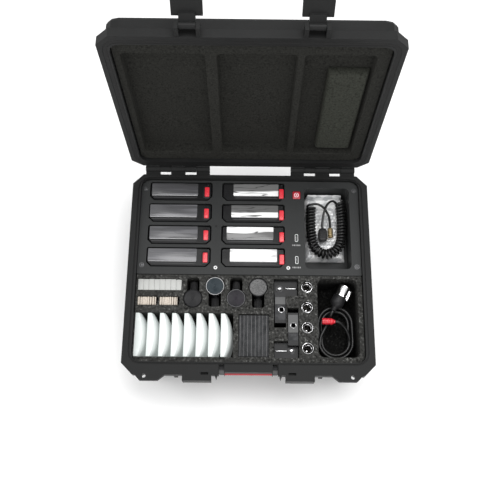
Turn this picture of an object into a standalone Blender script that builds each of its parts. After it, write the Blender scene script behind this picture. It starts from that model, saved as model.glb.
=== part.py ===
"""Portable light-panel kit in a hard case, modelled in metres with +Z up.

The case lies open on its base. The origin is at the middle of the case on its underside,
+X is to the right seen from the front, +Y towards the hinges. The lid and everything on it are
modelled closed, relative to the hinge axis, and turned open by an empty on that axis.
"""
import math

import bmesh
import bpy
from mathutils import Matrix, Vector

# ---------------------------------------------------------------- driving dimensions
RIM_Z = 0.150            # height of the parting plane above the floor
CASE_W = 0.525           # flange, side to side
CASE_D = 0.449           # flange, front to rear
FLANGE_H = 0.020
CORNER = 0.023           # corner cut of the flange
PLATE_REACH = 0.012      # how far locking plates and keepers stand out in front
WALL = 0.004
FLOOR = 0.005
CAVITY_X = 0.2435        # half width of the inside
CAVITY_Y = (-0.198, 0.214)
GAP = 0.0003             # clearance between touching parts
LID_H = 0.052
LID_OPEN = 92.0          # degrees from closed to its stop
HINGE_BEHIND = 0.014     # hinge axis behind the rear edge of the flange

HALF_W = CASE_W / 2
HALF_D = CASE_D / 2
HINGE_Y = HALF_D + HINGE_BEHIND
FRONT_PLATE_Y = -HALF_D - PLATE_REACH

KNUCKLE_R = 0.0075
PIN_R = 0.0025
BORE_R = 0.0029
BASE_KNUCKLES = ((0.0915, 0.1213), (0.1469, 0.1787), (0.2033, 0.2350))
LID_KNUCKLES = ((0.1218, 0.1464), (0.1792, 0.2028))

KEEPER_X = 0.1065        # latches and keepers, from the middle of the case
KEEPER_W = 0.059
KEEPER_H = 0.030
LATCH_PIVOT = (-0.478, 0.012)     # y, z of the latch pin from the hinge axis, lid closed
LATCH_OPEN = 110.0
LATCH_W = 0.052
LATCH_LEN = 0.050

HANDLE_PIVOT = (-0.2088, RIM_Z - 0.010)
HANDLE_DROP = 0.032
HANDLE_ARM_X = (0.0506, 0.0604)
GRIP_R = 0.006
CORE_R = 0.0038

DECK_TOP = RIM_Z - 0.008
DECK_T = 0.006
DECK_Y = (-0.0075, CAVITY_Y[1] - GAP)
WELL_FLOOR = 0.0495
SLOT_SIZE = (0.140, 0.0446)
SLOT_CUT = 0.010
SLOT_X = (-0.1545, 0.0075)
SLOT_Y = (0.1870, 0.1352, 0.0834, 0.0316)
PANEL_PLAY = 0.0018
PANEL_TOP = DECK_TOP - 0.002
RECESS = (0.1215, 0.2220, 0.0075, 0.1980)
RECESS_FLOOR = 0.078
BADGE = (0.1043, 0.1803, 0.018, 0.019)
USB_X = 0.1030
USB_Y = (0.0780, 0.0269)
USB_SIZE = (0.0070, 0.0185)

FOAM_TOP = RIM_Z - 0.010
FOAM_Y = (CAVITY_Y[0] + 0.0010, DECK_Y[0] - 0.0008)
MOUNTS = ((-0.1205, -0.0604, 1), (-0.0735, -0.0325, -1), (-0.0279, -0.0592, 1), (0.0194, -0.0342, -1))
MOUNT_R = 0.0200
NECK_W = 0.0272
DOME_COUNT = 8
DOME_X = -0.2403
DOME_PITCH = 0.0259
DOME_CROWN = 0.0252
DOME_Y = (-0.1855, -0.0928)
DOME_Z = (0.034, 0.1385)
PLATES = (-0.2390, -0.1455, -0.0427, -0.0183)
PADS = ((-0.2385, -0.1990), (-0.1920, -0.1532))
PADS_Y = (-0.0755, -0.0567)
LOUVRES = (-0.0215, 0.0420, -0.1845, -0.0960)
LOUVRE_COUNT = 8
SPIGOT_X = 0.1240
SPIGOT_Y = (-0.0330, -0.0778, -0.1218, -0.1660)
SPIGOT_R = 0.0122
LEAD_POCKET = (0.1460, 0.2330, -0.1850, -0.0145)
LEAD_FLOOR = 0.062

# ---------------------------------------------------------------- colours (base colour, roughness, metallic)
FINISHES = {
    "case_black": ((0.030, 0.031, 0.032), 0.55, 0.0),
    "foam_grey": ((0.055, 0.055, 0.052), 0.95, 0.0),
    "lid_foam": ((0.040, 0.041, 0.038), 0.95, 0.0),
    "olive_foam": ((0.058, 0.060, 0.050), 0.95, 0.0),
    "deck_grey": ((0.042, 0.043, 0.044), 0.50, 0.0),
    "panel_black": ((0.018, 0.018, 0.020), 0.35, 0.0),
    "rubber_black": ((0.015, 0.015, 0.015), 0.70, 0.0),
    "red": ((0.70, 0.020, 0.035), 0.40, 0.0),
    "diffuser_white": ((0.80, 0.83, 0.82), 0.35, 0.0),
    "plate_white": ((0.74, 0.74, 0.72), 0.45, 0.0),
    "pad_beige": ((0.62, 0.57, 0.50), 0.90, 0.0),
    "steel": ((0.60, 0.60, 0.60), 0.30, 1.0),
    "chrome": ((0.82, 0.82, 0.82), 0.12, 1.0),
    "brass": ((0.62, 0.48, 0.25), 0.30, 1.0),
    "bubble_film": ((0.62, 0.64, 0.66), 0.25, 0.0),
}


def clear_scene():
    for obj in list(bpy.data.objects):
        bpy.data.objects.remove(obj, do_unlink=True)


def finish_material(key):
    found = bpy.data.materials.get(key)
    if found:
        return found
    colour, roughness, metallic = FINISHES[key]
    material = bpy.data.materials.new(key)
    material.use_nodes = True
    shader = material.node_tree.nodes["Principled BSDF"]
    shader.inputs["Base Color"].default_value = (*colour, 1.0)
    shader.inputs["Roughness"].default_value = roughness
    shader.inputs["Metallic"].default_value = metallic
    return material


def place(name, data, finish, parent=None):
    obj = bpy.data.objects.new(name, data)
    bpy.context.collection.objects.link(obj)
    obj.parent = parent
    if finish:
        data.materials.append(finish_material(finish))
    return obj


def solid(name, bm, finish, parent=None):
    """Turn a bmesh into a named object with its faces pointing out."""
    bmesh.ops.recalc_face_normals(bm, faces=bm.faces)
    mesh = bpy.data.meshes.new(name)
    bm.to_mesh(mesh)
    bm.free()
    return place(name, mesh, finish, parent)


def combine(target, name, bm, operation):
    """Join or cut the target with a hidden tool made from the bmesh."""
    tool = solid(name, bm, None, target.parent)
    tool.hide_render = True
    tool.display_type = "WIRE"
    modifier = target.modifiers.new(name, "BOOLEAN")
    modifier.operation = operation
    modifier.solver = "EXACT"
    modifier.object = tool


def pivot(name, location, turn_x=0.0, parent=None):
    """An empty on a joint's axis, turned about X."""
    empty = bpy.data.objects.new(name, None)
    bpy.context.collection.objects.link(empty)
    empty.parent = parent
    empty.location = location
    empty.rotation_euler = (math.radians(turn_x), 0.0, 0.0)
    return empty


# ---------------------------------------------------------------- outlines and simple bodies
def rectangle(x0, x1, y0, y1):
    return [(x0, y0), (x1, y0), (x1, y1), (x0, y1)]


def rounded(x0, x1, y0, y1, radius, steps=3, rear=None):
    """A rectangle with round corners, counter-clockwise from the lower right; rear is a radius of its own."""
    rear = radius if rear is None else rear
    points = []
    for x, y, r, start in ((x1 - radius, y0 + radius, radius, -90), (x1 - rear, y1 - rear, rear, 0),
                           (x0 + rear, y1 - rear, rear, 90), (x0 + radius, y0 + radius, radius, 180)):
        for step in range(steps + 1):
            angle = math.radians(start + 90 * step / steps)
            points.append((x + r * math.cos(angle), y + r * math.sin(angle)))
    return points


def cut_corners(x0, x1, y0, y1, front, rear):
    """A rectangle with its front and rear corners cut at 45 degrees."""
    return [(x0 + front, y0), (x1 - front, y0), (x1, y0 + front), (x1, y1 - rear),
            (x1 - rear, y1), (x0 + rear, y1), (x0, y1 - rear), (x0, y0 + front)]


def circle(x, y, radius, sides=20):
    return [(x + radius * math.cos(math.tau * i / sides), y + radius * math.sin(math.tau * i / sides))
            for i in range(sides)]


def prism(bm, outline, z0, z1):
    """Add a closed prism that stands on the outline from z0 up to z1."""
    base = bm.faces.new([bm.verts.new((x, y, z0)) for x, y in outline])
    grown = bmesh.ops.extrude_face_region(bm, geom=[base])
    top = [v for v in grown["geom"] if isinstance(v, bmesh.types.BMVert)]
    bmesh.ops.translate(bm, verts=top, vec=(0.0, 0.0, z1 - z0))


def box(bm, x0, x1, y0, y1, z0, z1):
    prism(bm, rectangle(x0, x1, y0, y1), z0, z1)


def side_prism(bm, outline, x0, x1):
    """Add a closed prism along X whose outline is given as (y, z)."""
    base = bm.faces.new([bm.verts.new((x0, y, z)) for y, z in outline])
    grown = bmesh.ops.extrude_face_region(bm, geom=[base])
    far = [v for v in grown["geom"] if isinstance(v, bmesh.types.BMVert)]
    bmesh.ops.translate(bm, verts=far, vec=(x1 - x0, 0.0, 0.0))


def rod(bm, start, end, radius, sides=16):
    """Add a closed cylinder between two points."""
    start, end = Vector(start), Vector(end)
    turn = (end - start).to_track_quat("Z", "Y").to_matrix().to_4x4()
    matrix = Matrix.Translation((start + end) / 2) @ turn
    bmesh.ops.create_cone(bm, cap_ends=True, segments=sides, radius1=radius, radius2=radius,
                          depth=(end - start).length, matrix=matrix)


def bevel_level(bm, z, width, segments=2):
    """Round the edges that lie flat at one height."""
    edges = [e for e in bm.edges if all(abs(v.co.z - z) < 1e-6 for v in e.verts)]
    bmesh.ops.bevel(bm, geom=edges, offset=width, segments=segments, profile=0.5, affect="EDGES")


def ring_groove(inset, width, z0, z1, radius, y0, y1):
    """A closed ring that follows the flange, for a groove or a seal."""
    bm = bmesh.new()
    outer = rounded(-HALF_W + inset, HALF_W - inset, y0 + inset, y1 - inset, radius)
    inner = rounded(-HALF_W + inset + width, HALF_W - inset - width,
                    y0 + inset + width, y1 - inset - width, radius - width)
    far, near = ([bm.verts.new((x, y, z0)) for x, y in outline] for outline in (outer, inner))
    flat = [bm.faces.new((far[i - 1], far[i], near[i], near[i - 1])) for i in range(len(far))]
    grown = bmesh.ops.extrude_face_region(bm, geom=flat)
    raised = [v for v in grown["geom"] if isinstance(v, bmesh.types.BMVert)]
    bmesh.ops.translate(bm, verts=raised, vec=(0.0, 0.0, z1 - z0))
    return bm


# ---------------------------------------------------------------- base of the case
def base_shell():
    bm = bmesh.new()
    body = (-CAVITY_X - WALL, CAVITY_X + WALL, CAVITY_Y[0] - WALL, CAVITY_Y[1] + WALL)
    prism(bm, rounded(*body, 0.026), 0.0, RIM_Z - FLANGE_H / 2)
    bevel_level(bm, 0.0, 0.007)
    shell = solid("base_shell", bm, "case_black")

    bm = bmesh.new()
    prism(bm, cut_corners(-HALF_W, HALF_W, -HALF_D, HALF_D, CORNER, CORNER), RIM_Z - FLANGE_H, RIM_Z)
    combine(shell, "base_flange", bm, "UNION")
    combine(shell, "base_front_plates", front_plates(), "UNION")
    combine(shell, "base_ribs", base_ribs(), "UNION")
    combine(shell, "base_hinge_webs", hinge_webs(), "UNION")
    combine(shell, "base_hinge_knuckles", knuckles(BASE_KNUCKLES, HINGE_Y, RIM_Z), "UNION")

    bm = bmesh.new()
    prism(bm, rounded(-CAVITY_X, CAVITY_X, *CAVITY_Y, 0.018), FLOOR, RIM_Z + 0.01)
    combine(shell, "base_cavity", bm, "DIFFERENCE")
    combine(shell, "base_front_openings", front_openings(), "DIFFERENCE")
    combine(shell, "base_seal_groove",
            ring_groove(0.0125, 0.003, RIM_Z - 0.002, RIM_Z + 0.01, 0.026, -HALF_D + 0.0085, HALF_D + 0.0055),
            "DIFFERENCE")

    bm = bmesh.new()
    for side in (-1, 1):
        rod(bm, (side * 0.085, HINGE_Y, RIM_Z), (side * 0.240, HINGE_Y, RIM_Z), BORE_R)
        rod(bm, (side * 0.0585, *HANDLE_PIVOT), (side * 0.0715, *HANDLE_PIVOT), BORE_R)
    combine(shell, "base_pin_bores", bm, "DIFFERENCE")


def front_plates():
    """Locking plates at the front corners, the two keepers and the handle's pointed lugs."""
    bm = bmesh.new()
    for side in (-1, 1):
        plate = [(side * x, y) for x, y in ((0.2600, -0.197), (0.2235, FRONT_PLATE_Y), (0.1867, FRONT_PLATE_Y),
                                            (0.1712, -0.2243), (0.1712, -0.205), (0.2600, -0.185))]
        prism(bm, plate, RIM_Z - 0.012, RIM_Z)
        box(bm, side * KEEPER_X - KEEPER_W / 2, side * KEEPER_X + KEEPER_W / 2,
            FRONT_PLATE_Y, -0.210, RIM_Z - KEEPER_H, RIM_Z)
        lug = [(side * x, y) for x, y in ((0.0620, -0.215), (0.0640, -0.2250), (0.0663, -0.2335),
                                          (0.0690, -0.2250), (0.0700, -0.215))]
        prism(bm, lug, RIM_Z - 0.018, RIM_Z)
    return bm


def base_ribs():
    """Upright ribs that stiffen the walls below the flange."""
    bm = bmesh.new()
    low, high = 0.018, RIM_Z - FLANGE_H + 0.001
    out = 0.009
    for x in (-0.222, -0.160, 0.160, 0.222):
        box(bm, x - 0.004, x + 0.004, CAVITY_Y[0] - WALL - out, CAVITY_Y[0] - 0.002, low, high)
    for x in (-0.200, -0.100, 0.0, 0.100, 0.200):
        box(bm, x - 0.004, x + 0.004, CAVITY_Y[1] + 0.002, HALF_D - 0.001, low, high)
    for side in (-1, 1):
        for y in (-0.135, 0.0, 0.150):
            x0, x1 = sorted((side * (CAVITY_X + 0.002), side * (CAVITY_X + WALL + out)))
            box(bm, x0, x1, y - 0.004, y + 0.004, low, high)
    return bm


def hinge_webs():
    """Webs that carry the base's hinge knuckles behind the flange."""
    bm = bmesh.new()
    for side in (-1, 1):
        for inner, outer in BASE_KNUCKLES:
            x0, x1 = sorted((side * inner, side * outer))
            box(bm, x0, x1, HALF_D - 0.003, HINGE_Y, RIM_Z - 0.0115, RIM_Z - 0.0005)
    return bm


def knuckles(spans, y, z):
    bm = bmesh.new()
    for side in (-1, 1):
        for inner, outer in spans:
            rod(bm, (side * inner, y, z), (side * outer, y, z), KNUCKLE_R)
    return bm


def front_openings():
    """Padlock holes, keeper slots, and the room for the carry handle in the flange."""
    bm = bmesh.new()
    for side in (-1, 1):
        prism(bm, circle(side * 0.2145, -0.2268, 0.0046, 16), RIM_Z - 0.03, RIM_Z + 0.01)
        slot_x = side * 0.0901
        box(bm, slot_x - 0.0078, slot_x + 0.0078, -0.2245, -0.2195, RIM_Z - 0.008, RIM_Z + 0.01)
        x0, x1 = sorted((side * 0.0500, side * 0.0612))
        box(bm, x0, x1, -0.240, -0.2024, RIM_Z - 0.03, RIM_Z + 0.01)
    box(bm, -0.0490, 0.0490, -0.240, -0.2185, RIM_Z - 0.03, RIM_Z + 0.01)
    return bm


def hinge_pins():
    for name, side in (("hinge_pin_left", -1), ("hinge_pin_right", 1)):
        bm = bmesh.new()
        rod(bm, (side * 0.0920, HINGE_Y, RIM_Z), (side * 0.2345, HINGE_Y, RIM_Z), PIN_R)
        solid(name, bm, "steel")


# ---------------------------------------------------------------- carry handle
def carry_handle():
    """A U of two arms and a core rod that swings on the handle's pivot, with a sleeve as its grip."""
    axis = pivot("handle_axis", (0.0, *HANDLE_PIVOT))
    bm = bmesh.new()
    grip_y = -0.0040
    core_x = (HANDLE_ARM_X[0] + HANDLE_ARM_X[1]) / 2
    rod(bm, (-core_x, grip_y, -HANDLE_DROP), (core_x, grip_y, -HANDLE_DROP), CORE_R)
    handle = solid("carry_handle", bm, "case_black", axis)
    bm = bmesh.new()
    for side in (-1, 1):
        x0, x1 = sorted((side * HANDLE_ARM_X[0], side * HANDLE_ARM_X[1]))
        top = [(0.0052 * math.sin(a), 0.0052 * math.cos(a)) for a in (-1.57, -0.785, 0.0, 0.785, 1.57)]
        bottom = [(grip_y + 0.0056 * math.sin(a), -HANDLE_DROP - 0.0056 * math.cos(a))
                  for a in (1.57, 0.785, 0.0, -0.785, -1.57)]
        side_prism(bm, top + bottom, x0, x1)
    combine(handle, "handle_arms", bm, "UNION")
    bm = bmesh.new()
    for side in (-1, 1):
        rod(bm, (side * 0.055, 0.0, 0.0), (side * 0.0675, 0.0, 0.0), PIN_R)
    combine(handle, "handle_stubs", bm, "UNION")

    bm = bmesh.new()
    grip_half = HANDLE_ARM_X[0] - GAP
    rod(bm, (-grip_half, grip_y, -HANDLE_DROP), (grip_half, grip_y, -HANDLE_DROP), GRIP_R)
    grip = solid("handle_grip", bm, "red", axis)
    bm = bmesh.new()
    rod(bm, (-0.06, grip_y, -HANDLE_DROP), (0.06, grip_y, -HANDLE_DROP), CORE_R + 0.0004)
    combine(grip, "grip_bore", bm, "DIFFERENCE")


# ---------------------------------------------------------------- charging deck and what is under it
def slots():
    """The centre of each panel slot, left column first, rear to front."""
    return [(x, y) for x in SLOT_X for y in SLOT_Y]


def charging_deck():
    bm = bmesh.new()
    prism(bm, rounded(-CAVITY_X + GAP, CAVITY_X - GAP, *DECK_Y, 0.002, rear=0.0195), DECK_TOP - DECK_T, DECK_TOP)
    deck = solid("charging_deck", bm, "deck_grey")
    bm = bmesh.new()
    wall = 0.0025
    half_w, half_h = SLOT_SIZE[0] / 2 + wall, SLOT_SIZE[1] / 2 + wall
    for x in SLOT_X:
        box(bm, x - half_w, x + half_w, SLOT_Y[-1] - half_h, SLOT_Y[0] + half_h,
            WELL_FLOOR - 0.003, DECK_TOP - 0.001)
    box(bm, RECESS[0] - wall, RECESS[1] + wall, RECESS[2] - wall, RECESS[3] + wall,
        RECESS_FLOOR - 0.003, DECK_TOP - 0.001)
    combine(deck, "deck_wells", bm, "UNION")

    bm = bmesh.new()
    for x, y in slots():
        w, h = SLOT_SIZE[0] / 2, SLOT_SIZE[1] / 2
        prism(bm, cut_corners(x - w, x + w, y - h, y + h, SLOT_CUT, 0.003), WELL_FLOOR, DECK_TOP + 0.01)
    prism(bm, rounded(*RECESS, 0.010), RECESS_FLOOR, DECK_TOP + 0.01)
    for y in USB_Y:
        box(bm, USB_X - USB_SIZE[0] / 2 - GAP, USB_X + USB_SIZE[0] / 2 + GAP,
            y - USB_SIZE[1] / 2 - GAP, y + USB_SIZE[1] / 2 + GAP, 0.100, DECK_TOP + 0.01)
    x, y, w, h = BADGE
    box(bm, x - w / 2 - GAP, x + w / 2 + GAP, y - h / 2 - GAP, y + h / 2 + GAP, DECK_TOP - 0.0015, DECK_TOP + 0.01)
    combine(deck, "deck_openings", bm, "DIFFERENCE")


def usb_board():
    """A circuit board under the deck with its two sockets in the deck's cut-outs."""
    bm = bmesh.new()
    box(bm, 0.0860, 0.1175, 0.006, 0.098, 0.1180, 0.1200)
    board = solid("usb_board", bm, "steel")
    bm = bmesh.new()
    for y in USB_Y:
        box(bm, USB_X - USB_SIZE[0] / 2, USB_X + USB_SIZE[0] / 2,
            y - USB_SIZE[1] / 2, y + USB_SIZE[1] / 2, 0.1190, DECK_TOP - 0.0005)
    combine(board, "usb_shells", bm, "UNION")
    bm = bmesh.new()
    for y in USB_Y:
        box(bm, USB_X - USB_SIZE[0] / 2 + 0.001, USB_X + USB_SIZE[0] / 2 - 0.001,
            y - USB_SIZE[1] / 2 + 0.001, y + USB_SIZE[1] / 2 - 0.001, DECK_TOP - 0.010, DECK_TOP + 0.01)
    combine(board, "usb_mouths", bm, "DIFFERENCE")


def power_supply():
    bm = bmesh.new()
    box(bm, 0.1260, 0.2200, 0.0140, 0.1900, FLOOR + GAP, 0.0680)
    bevel_level(bm, 0.0680, 0.004, 1)
    solid("power_supply", bm, "steel")


def lower_foam():
    """The slab that carries the deck, cut away around the power supply."""
    bm = bmesh.new()
    prism(bm, rounded(-CAVITY_X + 0.001, CAVITY_X - 0.001, DECK_Y[0] + 0.001, DECK_Y[1] - 0.001, 0.002, rear=0.017),
          FLOOR + GAP, WELL_FLOOR - 0.003 - GAP)
    slab = solid("lower_foam", bm, "foam_grey")
    bm = bmesh.new()
    box(bm, 0.1240, 0.2220, 0.0120, 0.1920, 0.0, 0.060)
    combine(slab, "lower_foam_cut", bm, "DIFFERENCE")


# ---------------------------------------------------------------- foam insert in front of the deck
def foam_insert():
    bm = bmesh.new()
    prism(bm, rounded(-CAVITY_X + 0.001, CAVITY_X - 0.001, *FOAM_Y, 0.017, rear=0.002), FLOOR + GAP, FOAM_TOP)
    foam = solid("foam_insert", bm, "foam_grey")

    play = 0.0008
    bm = bmesh.new()
    for x, y, _ in MOUNTS:
        prism(bm, circle(x, y, MOUNT_R + 0.0012, 20), 0.0790, RIM_Z)
    x0, x1, y0, y1 = PLATES
    prism(bm, rounded(x0 - play, x1 + play, y0 - play, y1 + play, 0.001, 1), 0.0400, RIM_Z)
    for x0, x1 in PADS:
        prism(bm, rounded(x0 - play, x1 + 0.0045, PADS_Y[0] - play, PADS_Y[1] + play, 0.004, 2), 0.0800, RIM_Z)
    last = DOME_X + DOME_PITCH * (DOME_COUNT - 1) + DOME_CROWN
    prism(bm, rounded(DOME_X - play, last + play, DOME_Y[0] - play, DOME_Y[1] + play, 0.0010, 1),
          DOME_Z[0] - GAP, RIM_Z)
    x0, x1, y0, y1 = LOUVRES
    prism(bm, rounded(x0 - play, x1 + play, y0 - play, y1 + 0.002, 0.001, 1), 0.0450, RIM_Z)
    for y in SPIGOT_Y:
        prism(bm, circle(SPIGOT_X, y, SPIGOT_R + 0.0010, 20), 0.0747, RIM_Z)
    prism(bm, rounded(*LEAD_POCKET, 0.013), LEAD_FLOOR, RIM_Z)
    prism(bm, rounded(0.0525, 0.1055, -0.0535, -0.0150, 0.002, 2), 0.0747, RIM_Z)
    prism(bm, rounded(0.0525, 0.1060, -0.1870, -0.1505, 0.002, 2), 0.0747, RIM_Z)
    combine(foam, "foam_pockets", bm, "DIFFERENCE")

    bm = bmesh.new()
    for x, y, side in MOUNTS:
        y0, y1 = sorted((y, y + side * 0.0460))
        prism(bm, rounded(x - NECK_W / 2, x + NECK_W / 2, y0, y1, 0.005, 2), 0.0980, RIM_Z)
    box(bm, 0.0530, 0.0790, -0.1225, -0.0500, 0.0747, RIM_Z)
    box(bm, 0.0815, 0.1058, -0.1550, -0.0790, 0.0747, RIM_Z)
    combine(foam, "foam_side_pockets", bm, "DIFFERENCE")


# ---------------------------------------------------------------- lift-out pieces
def light_panels():
    w, h = SLOT_SIZE[0] / 2 - PANEL_PLAY, SLOT_SIZE[1] / 2 - PANEL_PLAY
    for number, (x, y) in enumerate(slots(), 1):
        bm = bmesh.new()
        prism(bm, cut_corners(x - w, x + w, y - h, y + h, SLOT_CUT - 0.001, 0.003), WELL_FLOOR + GAP, PANEL_TOP)
        bevel_level(bm, PANEL_TOP, 0.0015, 1)
        solid(f"light_panel_{number}", bm, "panel_black")


def dome_height(u, w):
    """Height of a diffuser's crown over its face, with u and w from -1 to 1 across and up the face."""
    return DOME_CROWN * (1 - 0.50 * abs(u) ** 2.2) * (1 - 0.40 * abs(w) ** 7)


def diffuser_domes():
    mid_y, mid_z = sum(DOME_Y) / 2, sum(DOME_Z) / 2
    half_y, half_z = (DOME_Y[1] - DOME_Y[0]) / 2, (DOME_Z[1] - DOME_Z[0]) / 2
    for index in range(DOME_COUNT):
        bm = bmesh.new()
        bmesh.ops.create_grid(bm, x_segments=8, y_segments=6, size=1.0)
        rim = [e for e in bm.edges if e.is_boundary]
        wall = bmesh.ops.extrude_edge_only(bm, edges=rim)["geom"]
        foot = {v for v in wall if isinstance(v, bmesh.types.BMVert)}
        x = DOME_X + DOME_PITCH * index
        for v in bm.verts:
            u, w = v.co.x, math.copysign(abs(v.co.y) ** 0.6, v.co.y)
            height = 0.0 if v in foot else dome_height(u, w)
            v.co = (x + height, mid_y + half_y * u, mid_z + half_z * w)
        dome = solid(f"diffuser_dome_{index + 1}", bm, "diffuser_white")
        shell = dome.modifiers.new("wall", "SOLIDIFY")
        shell.thickness = 0.002
        shell.offset = -1.0
        shell.use_even_offset = True


def round_mounts():
    """A round head with a stem below it and a short arm that lies in the side pocket."""
    for number, (x, y, side) in enumerate(MOUNTS, 1):
        bm = bmesh.new()
        prism(bm, circle(x, y, MOUNT_R, 20), 0.1270, FOAM_TOP - 0.001)
        mount = solid(f"round_mount_{number}", bm, "rubber_black")
        bm = bmesh.new()
        prism(bm, circle(x, y, 0.0130, 16), 0.0793, 0.1280)
        combine(mount, f"mount_stem_{number}", bm, "UNION")
        bm = bmesh.new()
        rod(bm, (x, y, 0.1100), (x, y + side * 0.0440, 0.1100), 0.0095, 14)
        combine(mount, f"mount_arm_{number}", bm, "UNION")


def filter_plates():
    """A stack of flat white plates on edge, held together as one pack."""
    x0, x1, y0, y1 = PLATES
    bm = bmesh.new()
    box(bm, x0, x1, y0, y1, 0.0403, FOAM_TOP - 0.0005)
    stack = solid("plate_stack", bm, "plate_white")
    bm = bmesh.new()
    for index in range(1, 6):
        y = y0 + (y1 - y0) * index / 6
        box(bm, x0 - 0.01, x1 + 0.01, y - 0.0003, y + 0.0003, FOAM_TOP - 0.0040, RIM_Z)
    combine(stack, "plate_stack_lines", bm, "DIFFERENCE")


def cleaning_pads():
    for name, (x0, x1) in zip(("pad_stack_left", "pad_stack_right"), PADS):
        bm = bmesh.new()
        prism(bm, rounded(x0, x1, *PADS_Y, 0.003, 2), 0.0803, FOAM_TOP - 0.002)
        bevel_level(bm, FOAM_TOP - 0.002, 0.002, 1)
        solid(name, bm, "pad_beige")


def louvre_stack():
    x0, x1, y0, y1 = LOUVRES
    bm = bmesh.new()
    box(bm, x0, x1, y0, y1, 0.0453, FOAM_TOP - 0.001)
    stack = solid("louvre_stack", bm, "rubber_black")
    pitch = (x1 - x0) / LOUVRE_COUNT
    bm = bmesh.new()
    for index in range(1, LOUVRE_COUNT):
        x = x0 + pitch * index
        box(bm, x - 0.0011, x + 0.0011, y0 - 0.01, y1 + 0.01, FOAM_TOP - 0.012, RIM_Z)
    combine(stack, "louvre_gaps", bm, "DIFFERENCE")


def bracket(name, head, arm, screw_y, screw_x):
    """An L-shaped clamp bracket: a low head, a tall arm and a hole through the arm."""
    bm = bmesh.new()
    box(bm, *head, 0.0750, 0.1260)
    body = solid(name, bm, "rubber_black")
    bm = bmesh.new()
    box(bm, *arm, 0.0750, FOAM_TOP - 0.0020)
    combine(body, f"{name}_arm", bm, "UNION")
    bm = bmesh.new()
    prism(bm, circle(screw_x, screw_y, 0.0050, 14), 0.1100, RIM_Z)
    combine(body, f"{name}_hole", bm, "DIFFERENCE")


def clamp_brackets():
    bracket("clamp_bracket_rear", (0.0540, 0.1040, -0.0520, -0.0165), (0.0550, 0.0782, -0.1120, -0.0450),
            -0.0830, 0.0690)
    bracket("clamp_bracket_front", (0.0540, 0.1045, -0.1855, -0.1520), (0.0826, 0.1045, -0.1600, -0.0900),
            -0.1170, 0.0940)


def spigots():
    for number, y in enumerate(SPIGOT_Y, 1):
        bm = bmesh.new()
        prism(bm, circle(SPIGOT_X, y, SPIGOT_R, 20), 0.0750, FOAM_TOP - 0.001)
        bevel_level(bm, FOAM_TOP - 0.001, 0.0012, 1)
        body = solid(f"spigot_{number}", bm, "chrome")
        bm = bmesh.new()
        prism(bm, circle(SPIGOT_X, y, 0.0080, 16), 0.1050, RIM_Z)
        combine(body, f"spigot_bore_{number}", bm, "DIFFERENCE")


# ---------------------------------------------------------------- leads and the loose bag
def smooth_route(points, spacing):
    """Points at an even spacing along a smooth curve through a hand-picked route."""
    ends = [2 * Vector(points[0]) - Vector(points[1])]
    ends.append(2 * Vector(points[-1]) - Vector(points[-2]))
    knots = [ends[0]] + [Vector(p) for p in points] + [ends[1]]
    fine = []
    for a, b, c, d in zip(knots, knots[1:], knots[2:], knots[3:]):
        for step in range(24):
            t = step / 24
            fine.append(0.5 * (2 * b + (c - a) * t + (2 * a - 5 * b + 4 * c - d) * t ** 2
                               + (3 * b - a - 3 * c + d) * t ** 3))
    fine.append(knots[-2])
    length = sum((q - p).length for p, q in zip(fine, fine[1:]))
    count = max(2, round(length / spacing))
    route = [fine[0]]
    walked, target = 0.0, length / count
    for p, q in zip(fine, fine[1:]):
        step = (q - p).length
        while walked + step >= target - 1e-9 and len(route) < count:
            route.append(p.lerp(q, (target - walked) / step))
            target += length / count
        walked += step
    return route + [fine[-1]]


def tube(name, points, radius, finish, spacing, resolution=2):
    """A plain round tube along a route, with closed ends."""
    curve = bpy.data.curves.new(name, "CURVE")
    curve.dimensions = "3D"
    curve.bevel_depth = radius
    curve.bevel_resolution = resolution
    curve.use_fill_caps = True
    route = smooth_route(points, spacing)
    spline = curve.splines.new("POLY")
    spline.points.add(len(route) - 1)
    for point, co in zip(spline.points, route):
        point.co = (*co, 1.0)
    place(name, curve, finish)


CURL_R = 0.0120
CURL_ROUTE = (
    (0.1400, 0.1680, 0.1090), (0.1385, 0.1420, 0.1090), (0.1385, 0.1120, 0.1090), (0.1400, 0.0870, 0.1090),
    (0.1480, 0.0650, 0.1090), (0.1660, 0.0530, 0.1090), (0.1850, 0.0560, 0.1090), (0.1990, 0.0690, 0.1090),
    (0.2060, 0.0900, 0.1090), (0.2075, 0.1170, 0.1090), (0.2075, 0.1470, 0.1090), (0.2060, 0.1760, 0.1090),
)
CORD_R = 0.0028
TAIL_LEFT = (
    (0.1403, 0.1720, 0.1090), (0.1440, 0.1820, 0.1105), (0.1560, 0.1800, 0.1115), (0.1680, 0.1665, 0.1115),
    (0.1790, 0.1440, 0.1110), (0.1815, 0.1250, 0.1110), (0.1815, 0.1130, 0.1110),
)
TAIL_RIGHT = (
    (0.2056, 0.1800, 0.1090), (0.2000, 0.1858, 0.1130), (0.1880, 0.1840, 0.1190), (0.1750, 0.1690, 0.1200),
    (0.1668, 0.1480, 0.1180), (0.1642, 0.1265, 0.1125), (0.1640, 0.1131, 0.1110),
)


def curly_lead():
    """The curly lead lies in a U on the bag; its two straight tails cross between the legs."""
    tube("curly_lead_coil", CURL_ROUTE, CURL_R, "rubber_black", 0.0120, 3)
    tube("curly_lead_tail_left", TAIL_LEFT, CORD_R, "rubber_black", 0.0070)
    tube("curly_lead_tail_right", TAIL_RIGHT, CORD_R, "rubber_black", 0.0070)
    bm = bmesh.new()
    rod(bm, (0.1815, 0.1127, 0.1110), (0.1815, 0.0910, 0.1110), 0.0062, 14)
    solid("curly_lead_connector", bm, "brass")
    bm = bmesh.new()
    prism(bm, rounded(0.1540, 0.1742, 0.0810, 0.1127, 0.007, 2), 0.1035, 0.1185)
    bevel_level(bm, 0.1185, 0.003, 1)
    solid("curly_lead_plug", bm, "rubber_black")


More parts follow.
